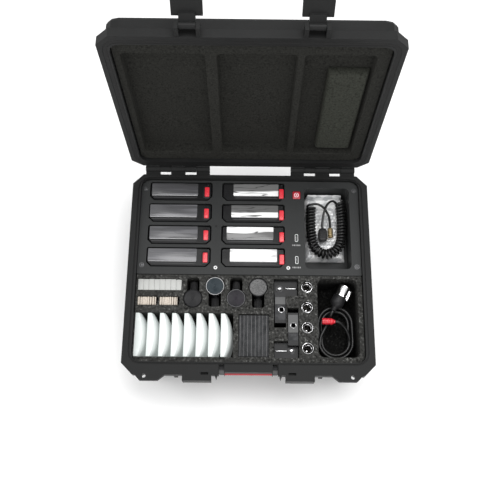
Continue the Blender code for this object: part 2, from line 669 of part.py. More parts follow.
def parts_bag():
    """The padded bag on the floor of the recess, as a plain pillow whose rear end stands up the wall."""
    bm = bmesh.new()
    prism(bm, rounded(0.1245, 0.2150, 0.0420, 0.1965, 0.008, 2), RECESS_FLOOR + GAP, 0.0960)
    bevel_level(bm, 0.0960, 0.004, 2)
    bag = solid("parts_bag", bm, "bubble_film")
    bm = bmesh.new()
    prism(bm, rounded(0.1300, 0.2100, 0.1902, 0.1963, 0.002, 1), 0.0880, 0.1233)
    combine(bag, "bag_rear_end", bm, "UNION")


HANK_X = 0.1895
HANK_HALF = 0.0405
HANK_Y = (-0.1815, -0.0600)
HANK_Z = (LEAD_FLOOR + GAP, 0.0860)
LEAD_R = 0.0035
PLUG_TILT = 28.0
PLUG_CENTRE = Vector((0.1985, -0.0470, 0.1080))
LEAD_RUN_PLUG = (
    (0.1818, -0.0784, 0.1080), (0.1793, -0.0830, 0.1079), (0.1765, -0.0890, 0.1020), (0.1735, -0.0955, 0.0955),
    (0.1710, -0.1015, 0.0935), (0.1675, -0.1090, 0.0915), (0.1625, -0.1190, 0.0905), (0.1570, -0.1300, 0.0900),
)
LEAD_RUN_SOCKET = (
    (0.1883, -0.1010, 0.1070), (0.1930, -0.1012, 0.1069), (0.2000, -0.1045, 0.1035), (0.2080, -0.1110, 0.0980),
    (0.2140, -0.1200, 0.0935), (0.2180, -0.1320, 0.0905), (0.2190, -0.1450, 0.0900),
)


def mains_lead():
    """The lead's hank on the floor of its pocket, with its plug and its socket lying on top."""
    bm = bmesh.new()
    prism(bm, rounded(HANK_X - HANK_HALF, HANK_X + HANK_HALF, *HANK_Y, HANK_HALF - 0.0005, 7), *HANK_Z)
    solid("mains_lead_hank", bm, "rubber_black")
    tube("mains_lead_plug_run", LEAD_RUN_PLUG, LEAD_R, "rubber_black", 0.0100)
    tube("mains_lead_socket_run", LEAD_RUN_SOCKET, LEAD_R, "rubber_black", 0.0100)
    along = Vector((math.sin(math.radians(PLUG_TILT)), math.cos(math.radians(PLUG_TILT)), 0.0))
    bm = bmesh.new()
    rod(bm, PLUG_CENTRE - along * 0.0338, PLUG_CENTRE - along * 0.0002, 0.0152, 18)
    solid("mains_plug_body", bm, "rubber_black")
    bm = bmesh.new()
    rod(bm, PLUG_CENTRE + along * 0.0002, PLUG_CENTRE + along * 0.0260, 0.0150, 18)
    solid("mains_plug_shell", bm, "chrome")
    bm = bmesh.new()
    rod(bm, (0.1580, -0.1000, 0.1070), (0.1867, -0.1010, 0.1070), 0.0072, 14)
    solid("mains_lead_socket", bm, "red")


# ---------------------------------------------------------------- lid
LID_Y = (-HINGE_BEHIND - CASE_D, -HINGE_BEHIND)      # flange, from the hinge axis
LID_RISE = 0.0004                                   # clearance over the base's rim when closed
LID_FOAM_Z = (0.0065, LID_H - WALL - GAP)
LID_POCKET_FLOOR = 0.0270
LID_POCKETS = ((-0.2275, -0.0815), (-0.0610, 0.0790), (0.0920, 0.2165))
LID_POCKET_Y = (-0.4110, -0.0660)


def lid_shell(axis):
    bm = bmesh.new()
    prism(bm, cut_corners(-HALF_W, HALF_W, *LID_Y, CORNER, CORNER), LID_RISE, 0.018)
    shell = solid("lid_shell", bm, "case_black", axis)
    inset = 0.011
    bm = bmesh.new()
    prism(bm, rounded(-HALF_W + inset, HALF_W - inset, LID_Y[0] + inset, LID_Y[1] - inset, 0.026), 0.010, LID_H)
    bevel_level(bm, LID_H, 0.008)
    combine(shell, "lid_body", bm, "UNION")
    bm = bmesh.new()
    for x in (-0.190, -0.150, 0.0, 0.150, 0.190):
        box(bm, x - 0.006, x + 0.006, LID_Y[0] + 0.060, LID_Y[1] - 0.060, LID_H - 0.002, LID_H + 0.002)
    combine(shell, "lid_runners", bm, "UNION")
    bm = bmesh.new()
    for side in (-1, 1):
        for inner, outer in LID_KNUCKLES:
            x0, x1 = sorted((side * inner, side * outer))
            box(bm, x0, x1, -0.018, 0.0, 0.0008, 0.0070)
        for ear in (-0.0180, 0.0180):
            x = side * KEEPER_X + ear
            box(bm, x - 0.0035, x + 0.0035, LATCH_PIVOT[0] - 0.006, LID_Y[0] + 0.002, 0.0012, 0.0178)
    combine(shell, "lid_arms", bm, "UNION")
    combine(shell, "lid_knuckles", knuckles(LID_KNUCKLES, 0.0, 0.0), "UNION")

    bm = bmesh.new()
    prism(bm, rounded(-0.2415, 0.2415, LID_Y[0] + 0.021, LID_Y[1] - 0.021, 0.020), -0.01, LID_H - WALL)
    combine(shell, "lid_cavity", bm, "DIFFERENCE")
    combine(shell, "lid_seal_groove", ring_groove(0.0090, 0.0080, -0.01, 0.0060, 0.028, *LID_Y), "DIFFERENCE")
    bm = bmesh.new()
    for side in (-1, 1):
        rod(bm, (side * 0.085, 0.0, 0.0), (side * 0.240, 0.0, 0.0), BORE_R)
        x = side * KEEPER_X
        rod(bm, (x - 0.030, *LATCH_PIVOT), (x + 0.030, *LATCH_PIVOT), 0.0023, 12)
    combine(shell, "lid_bores", bm, "DIFFERENCE")


def lid_seal(axis):
    bm = ring_groove(0.0093, 0.0074, LID_RISE + 0.0001, 0.0057, 0.0277, *LID_Y)
    solid("lid_seal", bm, "rubber_black", axis)


def lid_foam(axis):
    bm = bmesh.new()
    prism(bm, rounded(-0.2405, 0.2405, LID_Y[0] + 0.022, LID_Y[1] - 0.022, 0.019), *LID_FOAM_Z)
    foam = solid("lid_foam", bm, "lid_foam", axis)
    bm = bmesh.new()
    for x0, x1 in LID_POCKETS:
        prism(bm, rounded(x0, x1, *LID_POCKET_Y, 0.008, 2), -0.01, LID_POCKET_FLOOR)
    combine(foam, "lid_foam_pockets", bm, "DIFFERENCE")


def lid_pad(axis):
    """A loose-looking foam pad glued in the right-hand pocket of the lid."""
    bm = bmesh.new()
    prism(bm, rounded(0.1380, 0.2140, -0.3500, -0.0760, 0.003, 1), 0.0125, LID_POCKET_FLOOR - GAP)
    solid("lid_pad", bm, "olive_foam", axis)


def latches(axis):
    """Each latch hangs from its pin when closed and is modelled that way, then swung open."""
    for name, side in (("left", -1), ("right", 1)):
        x = side * KEEPER_X
        bm = bmesh.new()
        rod(bm, (x - 0.0213, *LATCH_PIVOT), (x + 0.0213, *LATCH_PIVOT), 0.0020, 12)
        solid(f"latch_pin_{name}", bm, "steel", axis)
        swing = pivot(f"latch_axis_{name}", (x, *LATCH_PIVOT), -LATCH_OPEN, axis)
        bm = bmesh.new()
        rod(bm, (-0.0142, 0.0, 0.0), (0.0142, 0.0, 0.0), 0.0058, 14)
        latch = solid(f"latch_{name}", bm, "case_black", swing)
        bm = bmesh.new()
        box(bm, -0.0138, 0.0138, -0.0140, -0.0020, -0.0200, 0.0035)
        combine(latch, f"latch_neck_{name}", bm, "UNION")
        bm = bmesh.new()
        box(bm, -LATCH_W / 2, LATCH_W / 2, -0.0145, -0.0078, -LATCH_LEN, -0.0130)
        box(bm, -LATCH_W / 2 + 0.004, LATCH_W / 2 - 0.004, -0.0079, 0.0080, -LATCH_LEN + 0.0003, -0.0432)
        combine(latch, f"latch_plate_{name}", bm, "UNION")
        bm = bmesh.new()
        rod(bm, (-0.03, 0.0, 0.0), (0.03, 0.0, 0.0), 0.0023, 12)
        combine(latch, f"latch_bore_{name}", bm, "DIFFERENCE")


def lid():
    axis = pivot("lid_axis", (0.0, HINGE_Y, RIM_Z), -LID_OPEN)
    lid_shell(axis)
    lid_seal(axis)
    lid_foam(axis)
    lid_pad(axis)
    latches(axis)


def main():
    clear_scene()
    base_shell()
    hinge_pins()
    carry_handle()
    charging_deck()
    usb_board()
    power_supply()
    lower_foam()
    foam_insert()
    light_panels()
    diffuser_domes()
    round_mounts()
    filter_plates()
    cleaning_pads()
    louvre_stack()
    clamp_brackets()
    spigots()
    parts_bag()
    curly_lead()
    mains_lead()
    lid()


main()
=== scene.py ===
# %% [markdown]
# # A portable light panel kit in its charging case
# The object is a black moulded case that stands open. A charging deck at the rear holds eight flat light
# panels and a curly lead; cut foam in front of it holds domes, mounts, brackets, spigots and a mains lead.
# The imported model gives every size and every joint. This lesson adds the surfaces, the soft pieces and the
# small detail.

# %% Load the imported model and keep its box
import math

import bmesh
import bpy
from mathutils import Matrix, Vector, noise


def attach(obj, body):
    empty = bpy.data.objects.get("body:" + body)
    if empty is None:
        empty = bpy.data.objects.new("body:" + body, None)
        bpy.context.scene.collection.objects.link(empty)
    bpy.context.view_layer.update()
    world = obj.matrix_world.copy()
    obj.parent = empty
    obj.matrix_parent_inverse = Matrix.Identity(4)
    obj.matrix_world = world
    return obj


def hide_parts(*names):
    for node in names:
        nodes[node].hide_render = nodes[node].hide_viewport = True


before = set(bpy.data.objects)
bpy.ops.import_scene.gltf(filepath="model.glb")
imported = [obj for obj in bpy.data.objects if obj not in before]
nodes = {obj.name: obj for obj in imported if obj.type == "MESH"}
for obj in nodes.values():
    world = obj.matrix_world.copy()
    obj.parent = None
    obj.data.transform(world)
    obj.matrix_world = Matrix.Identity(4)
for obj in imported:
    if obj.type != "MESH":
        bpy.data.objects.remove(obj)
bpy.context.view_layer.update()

# %% [markdown]
# ## Shader groups
# Nearly every surface here is one of four kinds: moulded plastic with a fine grain, cut foam with open cells,
# glossy film, and metal with brushed or knurled marks. An effect that several finishes share is a node group
# with named sockets, so each finish only states its own colours and scales.

# %% Helpers that build a node tree
def add_node(tree, kind, settings=None, **inputs):
    """Add a node; an input is either a plain value or another node's output."""
    made = tree.nodes.new("ShaderNode" + kind)
    for key, value in (settings or {}).items():
        setattr(made, key, value)
    for label, value in inputs.items():
        index = int(label[2:]) if label.startswith("at") else label.replace("_", " ")
        if isinstance(value, bpy.types.NodeSocket):
            tree.links.new(value, made.inputs[index])
        else:
            made.inputs[index].default_value = value
    return made


def start_group(name, inputs):
    """A shader group whose outputs are always a colour, a roughness and a height."""
    tree = bpy.data.node_groups.new(name, "ShaderNodeTree")
    for label, value in inputs.items():
        kind = "NodeSocketColor" if isinstance(value, tuple) else "NodeSocketFloat"
        socket = tree.interface.new_socket(label, in_out="INPUT", socket_type=kind)
        socket.default_value = (*value, 1.0) if isinstance(value, tuple) else value
    for label, kind in (("Colour", "NodeSocketColor"), ("Roughness", "NodeSocketFloat"),
                        ("Height", "NodeSocketFloat")):
        tree.interface.new_socket(label, in_out="OUTPUT", socket_type=kind)
    return tree, tree.nodes.new("NodeGroupInput").outputs, tree.nodes.new("NodeGroupOutput").inputs


def mix_colour(tree, amount, first, second, blend="MIX"):
    made = add_node(tree, "Mix", {"data_type": "RGBA", "blend_type": blend}, at0=amount, at6=first,
                    at7=second)
    return made.outputs[2]


def calculate(tree, operation, first, second=0.0, third=0.0):
    made = add_node(tree, "Math", {"operation": operation}, at0=first, at1=second, at2=third)
    return made.outputs[0]


def remap(tree, value, low, high, to_low=0.0, to_high=1.0):
    made = add_node(tree, "MapRange", None, Value=value, From_Min=low, From_Max=high, To_Min=to_low,
                    To_Max=to_high)
    return made.outputs[0]


# %% [markdown]
# ### Moulded grain
# A moulded case has a fine pebble from the tool, slightly paler on its high spots, and broad patches where
# hands have polished it. Two noises at very different scales give both, and the small one is also the bump.

# %% The moulded grain group
tree, into, out = start_group("moulded grain", {
    "Base": (0.03, 0.03, 0.03), "Pale": (0.05, 0.05, 0.05), "Grain scale": 900.0,
    "Patch scale": 9.0, "Roughness": 0.5, "Patchiness": 0.15})
place = add_node(tree, "TexCoord").outputs["Object"]
grain = add_node(tree, "TexNoise", None, Vector=place, Scale=into["Grain scale"], Detail=3.0,
                 Roughness=0.6).outputs[0]
patch = add_node(tree, "TexNoise", None, Vector=place, Scale=into["Patch scale"], Detail=5.0,
                 Roughness=0.55).outputs[0]
tree.links.new(mix_colour(tree, calculate(tree, "MULTIPLY", grain, remap(tree, patch, 0.3, 0.7, 0.5, 1.3)),
                          into["Base"], into["Pale"]), out["Colour"])
shift = calculate(tree, "MULTIPLY", remap(tree, patch, 0.25, 0.75, -0.5, 0.5), into["Patchiness"])
tree.links.new(calculate(tree, "ADD", into["Roughness"], shift), out["Roughness"])
tree.links.new(grain, out["Height"])
moulded_grain = tree

# %% [markdown]
# ### Foam cells
# Cut foam shows its open cells: small dark pits with paler walls. A Voronoi texture gives the cells, a noise
# breaks them up, and the same mask darkens the pits and sinks them. Below a given height the colour is
# darkened as painted shade, standing for the shade inside deep pockets.

# %% The foam cell group
tree, into, out = start_group("foam cells", {
    "Base": (0.06, 0.06, 0.055), "Pit": (0.015, 0.015, 0.014), "Pale": (0.10, 0.10, 0.09),
                                             "Cell scale": 620.0,
    "Dark below": -1.0, "Full from": 0.0})
place = add_node(tree, "TexCoord").outputs["Object"]
cell = add_node(tree, "TexVoronoi", {"feature": "F1"}, Vector=place, Scale=into["Cell scale"],
                Randomness=1.0).outputs["Distance"]
crumb = add_node(tree, "TexNoise", None, Vector=place,
                 Scale=calculate(tree, "MULTIPLY", into["Cell scale"], 0.55),
                 Detail=4.0, Roughness=0.7).outputs[0]
broad = add_node(tree, "TexNoise", None, Vector=place, Scale=14.0, Detail=3.0).outputs[0]
wall = calculate(tree, "MULTIPLY", remap(tree, cell, 0.15, 0.75), remap(tree, crumb, 0.35, 0.62))
first = mix_colour(tree, remap(tree, calculate(tree, "ADD", wall, crumb), 0.35, 0.75), into["Pit"],
                   into["Base"])
lit = calculate(tree, "MULTIPLY", remap(tree, crumb, 0.56, 0.70), remap(tree, broad, 0.3, 0.7, 0.4, 1.0))
height = add_node(tree, "SeparateXYZ", None, Vector=place).outputs[2]
# painted shade: below a given height the colour darkens, standing for the shade inside deep pockets
painted_pocket_shade = remap(tree, height, into["Dark below"], into["Full from"], 0.2, 1.0)
tree.links.new(mix_colour(tree, 1.0, mix_colour(tree, lit, first, into["Pale"]), painted_pocket_shade, "MULTIPLY"),
               out["Colour"])
tree.links.new(remap(tree, crumb, 0.3, 0.7, 0.85, 1.0), out["Roughness"])
tree.links.new(calculate(tree, "ADD", wall, calculate(tree, "MULTIPLY", crumb, 0.6)), out["Height"])
foam_cells = tree

# %% [markdown]
# ### Rippled film
# The panels' windows and the parts bag are thin glossy film. The long streaks where it mirrors the room are
# painted
# reflection in its colour: stretching a noise along the film gives them; a steep ramp turns its middle values
# into thin dark lines.

# %% The rippled film group
tree, into, out = start_group("rippled film", {
    "Base": (0.3, 0.3, 0.32), "Bright": (0.8, 0.8, 0.8), "Line": (0.03, 0.03, 0.03),
    "Along": 9.0, "Across": 130.0, "Line amount": 1.0, "Bright from": 0.5, "Slope": 0.0, "Level y": 0.0,
    "Roughness": 0.15})
place = add_node(tree, "TexCoord").outputs["Object"]
parts = add_node(tree, "SeparateXYZ", None, Vector=place).outputs
stretched = add_node(tree, "CombineXYZ", None, X=calculate(tree, "MULTIPLY", parts[0], into["Along"]),
                     Y=calculate(tree, "MULTIPLY", parts[1], into["Across"]),
                     Z=calculate(tree, "MULTIPLY", parts[2], into["Along"])).outputs[0]
streak = add_node(tree, "TexNoise", None, Vector=stretched, Scale=1.0, Detail=2.0, Roughness=0.4,
                  Distortion=0.12).outputs[0]
slope = calculate(tree, "MULTIPLY", calculate(tree, "SUBTRACT", parts[1], into["Level y"]), into["Slope"])
# painted reflection: the bright streaks, and the slope that lightens one side, are painted into the colour
bright = remap(tree, calculate(tree, "ADD", calculate(tree, "SUBTRACT", streak, into["Bright from"]), slope),
               -0.02, 0.09)
film = mix_colour(tree, bright, into["Base"], into["Bright"])
line = remap(tree, calculate(tree, "ABSOLUTE", calculate(tree, "SUBTRACT", streak, 0.47)), 0.006, 0.016, 1.0,
             0.0)
film = mix_colour(tree, calculate(tree, "MULTIPLY", line, into["Line amount"]), film, into["Line"])
tree.links.new(film, out["Colour"])
tree.links.new(calculate(tree, "ADD", into["Roughness"], calculate(tree, "MULTIPLY", line, 0.2)),
               out["Roughness"])
tree.links.new(streak, out["Height"])
rippled_film = tree

# %% [markdown]
# ### Worked metal
# Chrome, steel and brass here are turned parts. They show fine rings and scratches round their axis and dull
# patches from handling, so this group stretches a noise upwards and adds a patchy one.

# %% The worked metal group
tree, into, out = start_group("worked metal", {
    "Base": (0.8, 0.8, 0.8), "Dull": (0.45, 0.45, 0.45), "Scratch scale": 700.0, "Dulling": 0.3,
                                               "Roughness": 0.15})
place = add_node(tree, "TexCoord").outputs["Object"]
parts = add_node(tree, "SeparateXYZ", None, Vector=place).outputs
rings = add_node(tree, "CombineXYZ", None, X=parts[0], Y=parts[1],
                 Z=calculate(tree, "MULTIPLY", parts[2], 12.0)).outputs[0]
scratch = add_node(tree, "TexNoise", None, Vector=rings, Scale=into["Scratch scale"], Detail=3.0).outputs[0]
patch = add_node(tree, "TexNoise", None, Vector=place, Scale=90.0, Detail=4.0).outputs[0]
dull = calculate(tree, "MULTIPLY", remap(tree, patch, 0.4, 0.7), into["Dulling"])
tree.links.new(mix_colour(tree, dull, into["Base"], into["Dull"]), out["Colour"])
tree.links.new(calculate(tree, "ADD", into["Roughness"], calculate(tree, "MULTIPLY", dull, 0.5)),
               out["Roughness"])
tree.links.new(scratch, out["Height"])
worked_metal = tree

# %% [markdown]
# ## Finishes
# A finish is a Principled shader fed by one group. Plain numbers such as the coat go straight onto the
# shader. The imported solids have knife-sharp edges, so a Bevel node rounds their shading by a fraction of a
# millimetre, which is what makes a moulded edge catch the light.

# %% Build one finish
def finish(name, group, settings, bump=0.2, depth=0.0002, edge=0.0, **shader_values):
    material = bpy.data.materials.new(name)
    material.use_nodes = True
    tree = material.node_tree
    shader = tree.nodes["Principled BSDF"]
    look = tree.nodes.new("ShaderNodeGroup")
    look.node_tree = group
    for label, value in settings.items():
        look.inputs[label].default_value = (*value, 1.0) if isinstance(value, tuple) else value
    tree.links.new(look.outputs["Colour"], shader.inputs["Base Color"])
    tree.links.new(look.outputs["Roughness"], shader.inputs["Roughness"])
    relief = add_node(tree, "Bump", None, Strength=bump, Distance=depth, Height=look.outputs["Height"])
    if edge:
        rounded = add_node(tree, "Bevel", {"samples": 4}, Radius=edge)
        tree.links.new(rounded.outputs[0], relief.inputs["Normal"])
    tree.links.new(relief.outputs[0], shader.inputs["Normal"])
    for label, value in shader_values.items():
        shader.inputs[label.replace("_", " ")].default_value = value
    return material


# %% The plastics and rubbers
case_plastic = finish("case plastic", moulded_grain, {
    "Base": (0.0075, 0.0077, 0.0077), "Pale": (0.020, 0.0204, 0.0204), "Grain scale": 620.0,
                                                      "Roughness": 0.50},
    bump=0.35, depth=0.0003, edge=0.0011, Specular_IOR_Level=0.14)
deck_plastic = finish("deck plastic", moulded_grain, {
    "Base": (0.017, 0.0178, 0.018), "Pale": (0.035, 0.0366, 0.0366), "Grain scale": 1100.0, "Roughness": 0.46,
    "Patchiness": 0.10}, bump=0.25, depth=0.0002, edge=0.0008, Specular_IOR_Level=0.18)
panel_plastic = finish("panel plastic", moulded_grain, {
    "Base": (0.0045, 0.0048, 0.0050), "Pale": (0.011, 0.011, 0.012), "Grain scale": 700.0, "Roughness": 0.34,
    "Patchiness": 0.2}, bump=0.12, edge=0.0004, Specular_IOR_Level=0.2)
fitting_plastic = finish("fitting plastic", moulded_grain, {
    "Base": (0.008, 0.008, 0.009), "Pale": (0.020, 0.020, 0.021), "Grain scale": 900.0, "Roughness": 0.42},
    bump=0.2, edge=0.0003, Specular_IOR_Level=0.25)
cord_rubber = finish("cord rubber", moulded_grain, {
    "Base": (0.0055, 0.0055, 0.0058), "Pale": (0.012, 0.012, 0.012), "Grain scale": 500.0, "Roughness": 0.36,
    "Patchiness": 0.12}, bump=0.1, Specular_IOR_Level=0.4, Coat_Weight=0.08, Coat_Roughness=0.25)
seal_rubber = finish("seal rubber", moulded_grain, {
    "Base": (0.007, 0.007, 0.007), "Pale": (0.014, 0.014, 0.014), "Grain scale": 400.0, "Roughness": 0.62},
                     bump=0.2,
    Specular_IOR_Level=0.2)
red_plastic = finish("red plastic", moulded_grain, {
    "Base": (0.60, 0.014, 0.028), "Pale": (0.74, 0.035, 0.055), "Grain scale": 600.0, "Roughness": 0.36},
    bump=0.12, Coat_Weight=0.3)
grip_red = finish("grip red", moulded_grain, {
    "Base": (0.38, 0.012, 0.022), "Pale": (0.52, 0.030, 0.045), "Grain scale": 700.0, "Roughness": 0.5},
                  bump=0.3)
# painted light: a faint emission makes the domes glow, standing for light passing through the white plastic
glowing_dome_white = finish("dome white with painted glow", moulded_grain, {
    "Base": (0.56, 0.60, 0.585), "Pale": (0.62, 0.65, 0.64), "Grain scale": 300.0, "Roughness": 0.34,
    "Patchiness": 0.1}, bump=0.05, Coat_Weight=0.2, Coat_Roughness=0.2,
                    Emission_Color=(0.80, 0.86, 0.84, 1.0),
    Emission_Strength=0.13)
plate_white = finish("plate white", moulded_grain, {
    "Base": (0.37, 0.375, 0.360), "Pale": (0.46, 0.465, 0.450), "Grain scale": 500.0, "Patch scale": 60.0,
    "Roughness": 0.45}, bump=0.15)
mark_white = finish("mark white", moulded_grain, {
    "Base": (0.62, 0.62, 0.62), "Pale": (0.85, 0.85, 0.85), "Grain scale": 900.0, "Roughness": 0.5},
                    bump=0.05)
mark_grey = finish("mark grey", moulded_grain, {
    "Base": (0.20, 0.20, 0.20), "Pale": (0.36, 0.36, 0.36), "Grain scale": 900.0, "Roughness": 0.5},
                   bump=0.05)
mark_pink = finish("mark pink", moulded_grain, {
    "Base": (0.80, 0.42, 0.46), "Pale": (0.88, 0.62, 0.64), "Grain scale": 900.0, "Roughness": 0.5},
                   bump=0.05)
trim_grey = finish("trim grey", moulded_grain, {
    "Base": (0.085, 0.087, 0.090), "Pale": (0.15, 0.15, 0.155), "Grain scale": 400.0, "Roughness": 0.34},
                   bump=0.1)
trim_bright = finish("bright trim", moulded_grain, {
    "Base": (0.42, 0.42, 0.43), "Pale": (0.62, 0.62, 0.63), "Grain scale": 300.0, "Roughness": 0.3},
                     bump=0.05)
trim_dark = finish("trim dark", moulded_grain, {
    "Base": (0.055, 0.055, 0.057), "Pale": (0.12, 0.12, 0.124), "Grain scale": 300.0, "Roughness": 0.35},
                   bump=0.1)
# painted light: a pale grey for the lit top face of each bracket arm
painted_light_grey = finish("painted light grey", moulded_grain, {
    "Base": (0.075, 0.076, 0.076), "Pale": (0.115, 0.116, 0.116), "Grain scale": 800.0, "Roughness": 0.55},
                  bump=0.25,
    Specular_IOR_Level=0.3)
# painted sheen: a lighter grey for the lit flat strip along each panel's front
painted_sheen_grey = finish("painted sheen grey", moulded_grain, {
    "Base": (0.018, 0.018, 0.019), "Pale": (0.036, 0.036, 0.038), "Grain scale": 500.0, "Roughness": 0.4},
                   bump=0.1,
    Specular_IOR_Level=0.3)
badge_red = finish("badge red", moulded_grain, {
    "Base": (0.30, 0.008, 0.018), "Pale": (0.42, 0.020, 0.034), "Grain scale": 500.0, "Roughness": 0.35},
                   bump=0.1)
board_green = finish("board green", moulded_grain, {
    "Base": (0.010, 0.045, 0.022), "Pale": (0.020, 0.080, 0.040), "Grain scale": 260.0, "Roughness": 0.35},
                     bump=0.1)

# %% The foams, films and metals
# painted shade: the insert foam's colour darkens below 0.095 m, inside its cut pockets
insert_foam = finish("insert foam", foam_cells, {
    "Base": (0.040, 0.040, 0.038), "Pit": (0.008, 0.008, 0.0075), "Pale": (0.22, 0.22, 0.21),
                                                 "Cell scale": 360.0,
    "Dark below": 0.095, "Full from": 0.138}, bump=0.9, depth=0.0008,
    Specular_IOR_Level=0.08)
charcoal_foam = finish("charcoal foam", foam_cells, {
    "Base": (0.026, 0.026, 0.0235), "Pit": (0.011, 0.011, 0.010), "Pale": (0.046, 0.046, 0.042),
                                                     "Cell scale": 520.0},
    bump=0.7, depth=0.0006, Specular_IOR_Level=0.06)
olive_foam = finish("olive foam", foam_cells, {
    "Base": (0.041, 0.043, 0.036), "Pit": (0.020, 0.021, 0.017), "Pale": (0.062, 0.064, 0.054),
                                               "Cell scale": 420.0},
    bump=0.6, depth=0.0006, Specular_IOR_Level=0.06)
pad_felt = finish("pad felt", foam_cells, {
    "Base": (0.58, 0.52, 0.45), "Pit": (0.40, 0.33, 0.27), "Pale": (0.76, 0.72, 0.66), "Cell scale": 900.0},
    bump=0.5, depth=0.0004)
# painted reflection: the bag film's colour carries bright streaks standing for light mirrored by the film
bag_film = finish("bag film", rippled_film, {
    "Base": (0.62, 0.63, 0.64), "Bright": (0.93, 0.93, 0.93), "Line": (0.22, 0.22, 0.23), "Line amount": 0.5,
    "Along": 60.0, "Across": 75.0, "Bright from": 0.46, "Roughness": 0.24}, bump=0.3, depth=0.001,
                  Metallic=0.1)
chrome = finish("chrome", worked_metal, {"Base": (0.86, 0.86, 0.87), "Roughness": 0.10}, bump=0.03,
                Metallic=1.0)
steel = finish("steel", worked_metal, {"Base": (0.52, 0.52, 0.53), "Roughness": 0.26}, bump=0.08, edge=0.0003,
               Metallic=1.0)
brass = finish("brass", worked_metal, {
    "Base": (0.62, 0.48, 0.26), "Dull": (0.10, 0.08, 0.05), "Dulling": 0.9, "Scratch scale": 420.0,
    "Roughness": 0.24}, bump=0.5, depth=0.0004, Metallic=1.0)
black_anodised = finish("black anodised", worked_metal, {
    "Base": (0.010, 0.010, 0.011), "Dull": (0.024, 0.024, 0.026), "Dulling": 0.8, "Roughness": 0.30},
    bump=0.1, Metallic=0.2, Coat_Weight=0.15)
grey_anodised = finish("grey anodised", worked_metal, {
    "Base": (0.030, 0.031, 0.033), "Dull": (0.020, 0.021, 0.022), "Dulling": 0.8, "Roughness": 0.42},
                       bump=0.15,
    Specular_IOR_Level=0.25)

steel_dark = finish("dark steel", worked_metal, {
    "Base": (0.16, 0.16, 0.165), "Dull": (0.07, 0.07, 0.07), "Dulling": 0.6, "Roughness": 0.30}, bump=0.08,
                    Metallic=0.9)
# painted shade: a dark brown metal colour for the inside of the spigot bores
bore_shade_metal = finish("bore metal with painted shade", worked_metal, {
    "Base": (0.075, 0.070, 0.064), "Dull": (0.020, 0.019, 0.018), "Dulling": 0.8, "Scratch scale": 300.0,
    "Roughness": 0.24}, bump=0.15, Metallic=0.9)
mount_faces = [
    fitting_plastic,
    finish("blue anodised", worked_metal, {"Base": (0.012, 0.020, 0.026), "Dull": (0.040, 0.052, 0.060),
           "Dulling": 0.9, "Roughness": 0.30}, bump=0.2, Metallic=0.5),
    finish("violet anodised", worked_metal, {"Base": (0.010, 0.009, 0.012), "Dull": (0.030, 0.026, 0.034),
           "Dulling": 0.9, "Roughness": 0.34}, bump=0.2, Metallic=0.4),
    finish("speckled metal", foam_cells, {"Base": (0.16, 0.16, 0.16), "Pit": (0.030, 0.030, 0.030),
           "Pale": (0.38, 0.38, 0.38), "Cell scale": 900.0}, bump=0.4, depth=0.0003, Metallic=0.3)]

# %% [markdown]
# ### The panels' windows
# Each window's colour carries a painted reflection of the room: grey on the left windows and bright on the
# right ones. No two are alike, so the group is used once for each panel, with its own painted streaks. A slope
# along the window's depth paints one side brighter.

# %% Eight window films with painted reflections
window_films = []
# columns: base and bright (painted reflection colours), line (dark line amount), start, across, slope and
# level (painted brightening towards one side)
for number, (base, bright, line, start, across, slope, level) in enumerate((
        (0.070, 0.17, 0.9, 0.54, 95.0, -8.0, 0.1870), (0.085, 0.16, 0.5, 0.52, 80.0, -6.0, 0.1352),
        (0.090, 0.15, 0.6, 0.51, 110.0, -4.0, 0.0834), (0.110, 0.16, 0.1, 0.52, 90.0, -4.0, 0.0316),
        (0.160, 0.92, 0.9, 0.50, 75.0, -38.0, 0.1895), (0.130, 0.86, 1.0, 0.50, 105.0, -34.0, 0.1400),
        (0.150, 0.90, 0.9, 0.50, 90.0, 34.0, 0.0880), (0.560, 0.90, 0.3, 0.44, 70.0, -6.0, 0.0380)), 1):
    tint = 1.06 if number < 5 else 1.0
    window_films.append(finish(f"window film {number}", rippled_film, {
        "Base": (base, base, base * tint), "Bright": (bright, bright, bright * tint),
        "Line": (0.030, 0.030, 0.030), "Along": 3.0 + 0.8 * number, "Across": across,
        "Bright from": start, "Line amount": line, "Slope": slope,
        "Level y": level, "Roughness": 0.2}, bump=0.12, depth=0.0004, Specular_IOR_Level=0.5))
print("window films", len(window_films))

# %% [markdown]
# ## Shaping helpers
# New pieces are cut from a few bmesh operators. Each helper adds its shape to a given bmesh, with its place in
# the vertices, and `keep` turns that bmesh into an object at the origin that rides on one of the case's
# bodies.

# %% Turn a bmesh into a piece
def keep(name, bm, material, body, smooth=30.0, stands_for=()):
    bmesh.ops.remove_doubles(bm, verts=bm.verts, dist=1e-6)
    bmesh.ops.recalc_face_normals(bm, faces=bm.faces)
    mesh = bpy.data.meshes.new(name)
    bm.to_mesh(mesh)
    bm.free()
    made = bpy.data.objects.new(name, mesh)
    bpy.context.scene.collection.objects.link(made)
    for one in (material if isinstance(material, (list, tuple)) else [material]):
        mesh.materials.append(one)
    if smooth:
        mesh.shade_smooth()
        mesh.set_sharp_from_angle(angle=math.radians(smooth))
    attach(made, body)
    if stands_for:
        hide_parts(*stands_for)
    return made


# %% Blocks, rods and turned shapes
def add_block(bm, low, high, soften=0.0, steps=2):
    """A box between two corners with softened edges."""
    low, high = Vector(low), Vector(high)
    size = high - low
    made = bmesh.ops.create_cube(bm, size=1.0,
                                 matrix=Matrix.Translation((low + high) / 2) @ Matrix.Diagonal((*size, 1.0)))
    if soften:
        edges = {e for v in made["verts"] for e in v.link_edges}
        bmesh.ops.bevel(bm, geom=list(edges), offset=soften, segments=steps, profile=0.5, affect="EDGES",
                        material=-1)
    return made


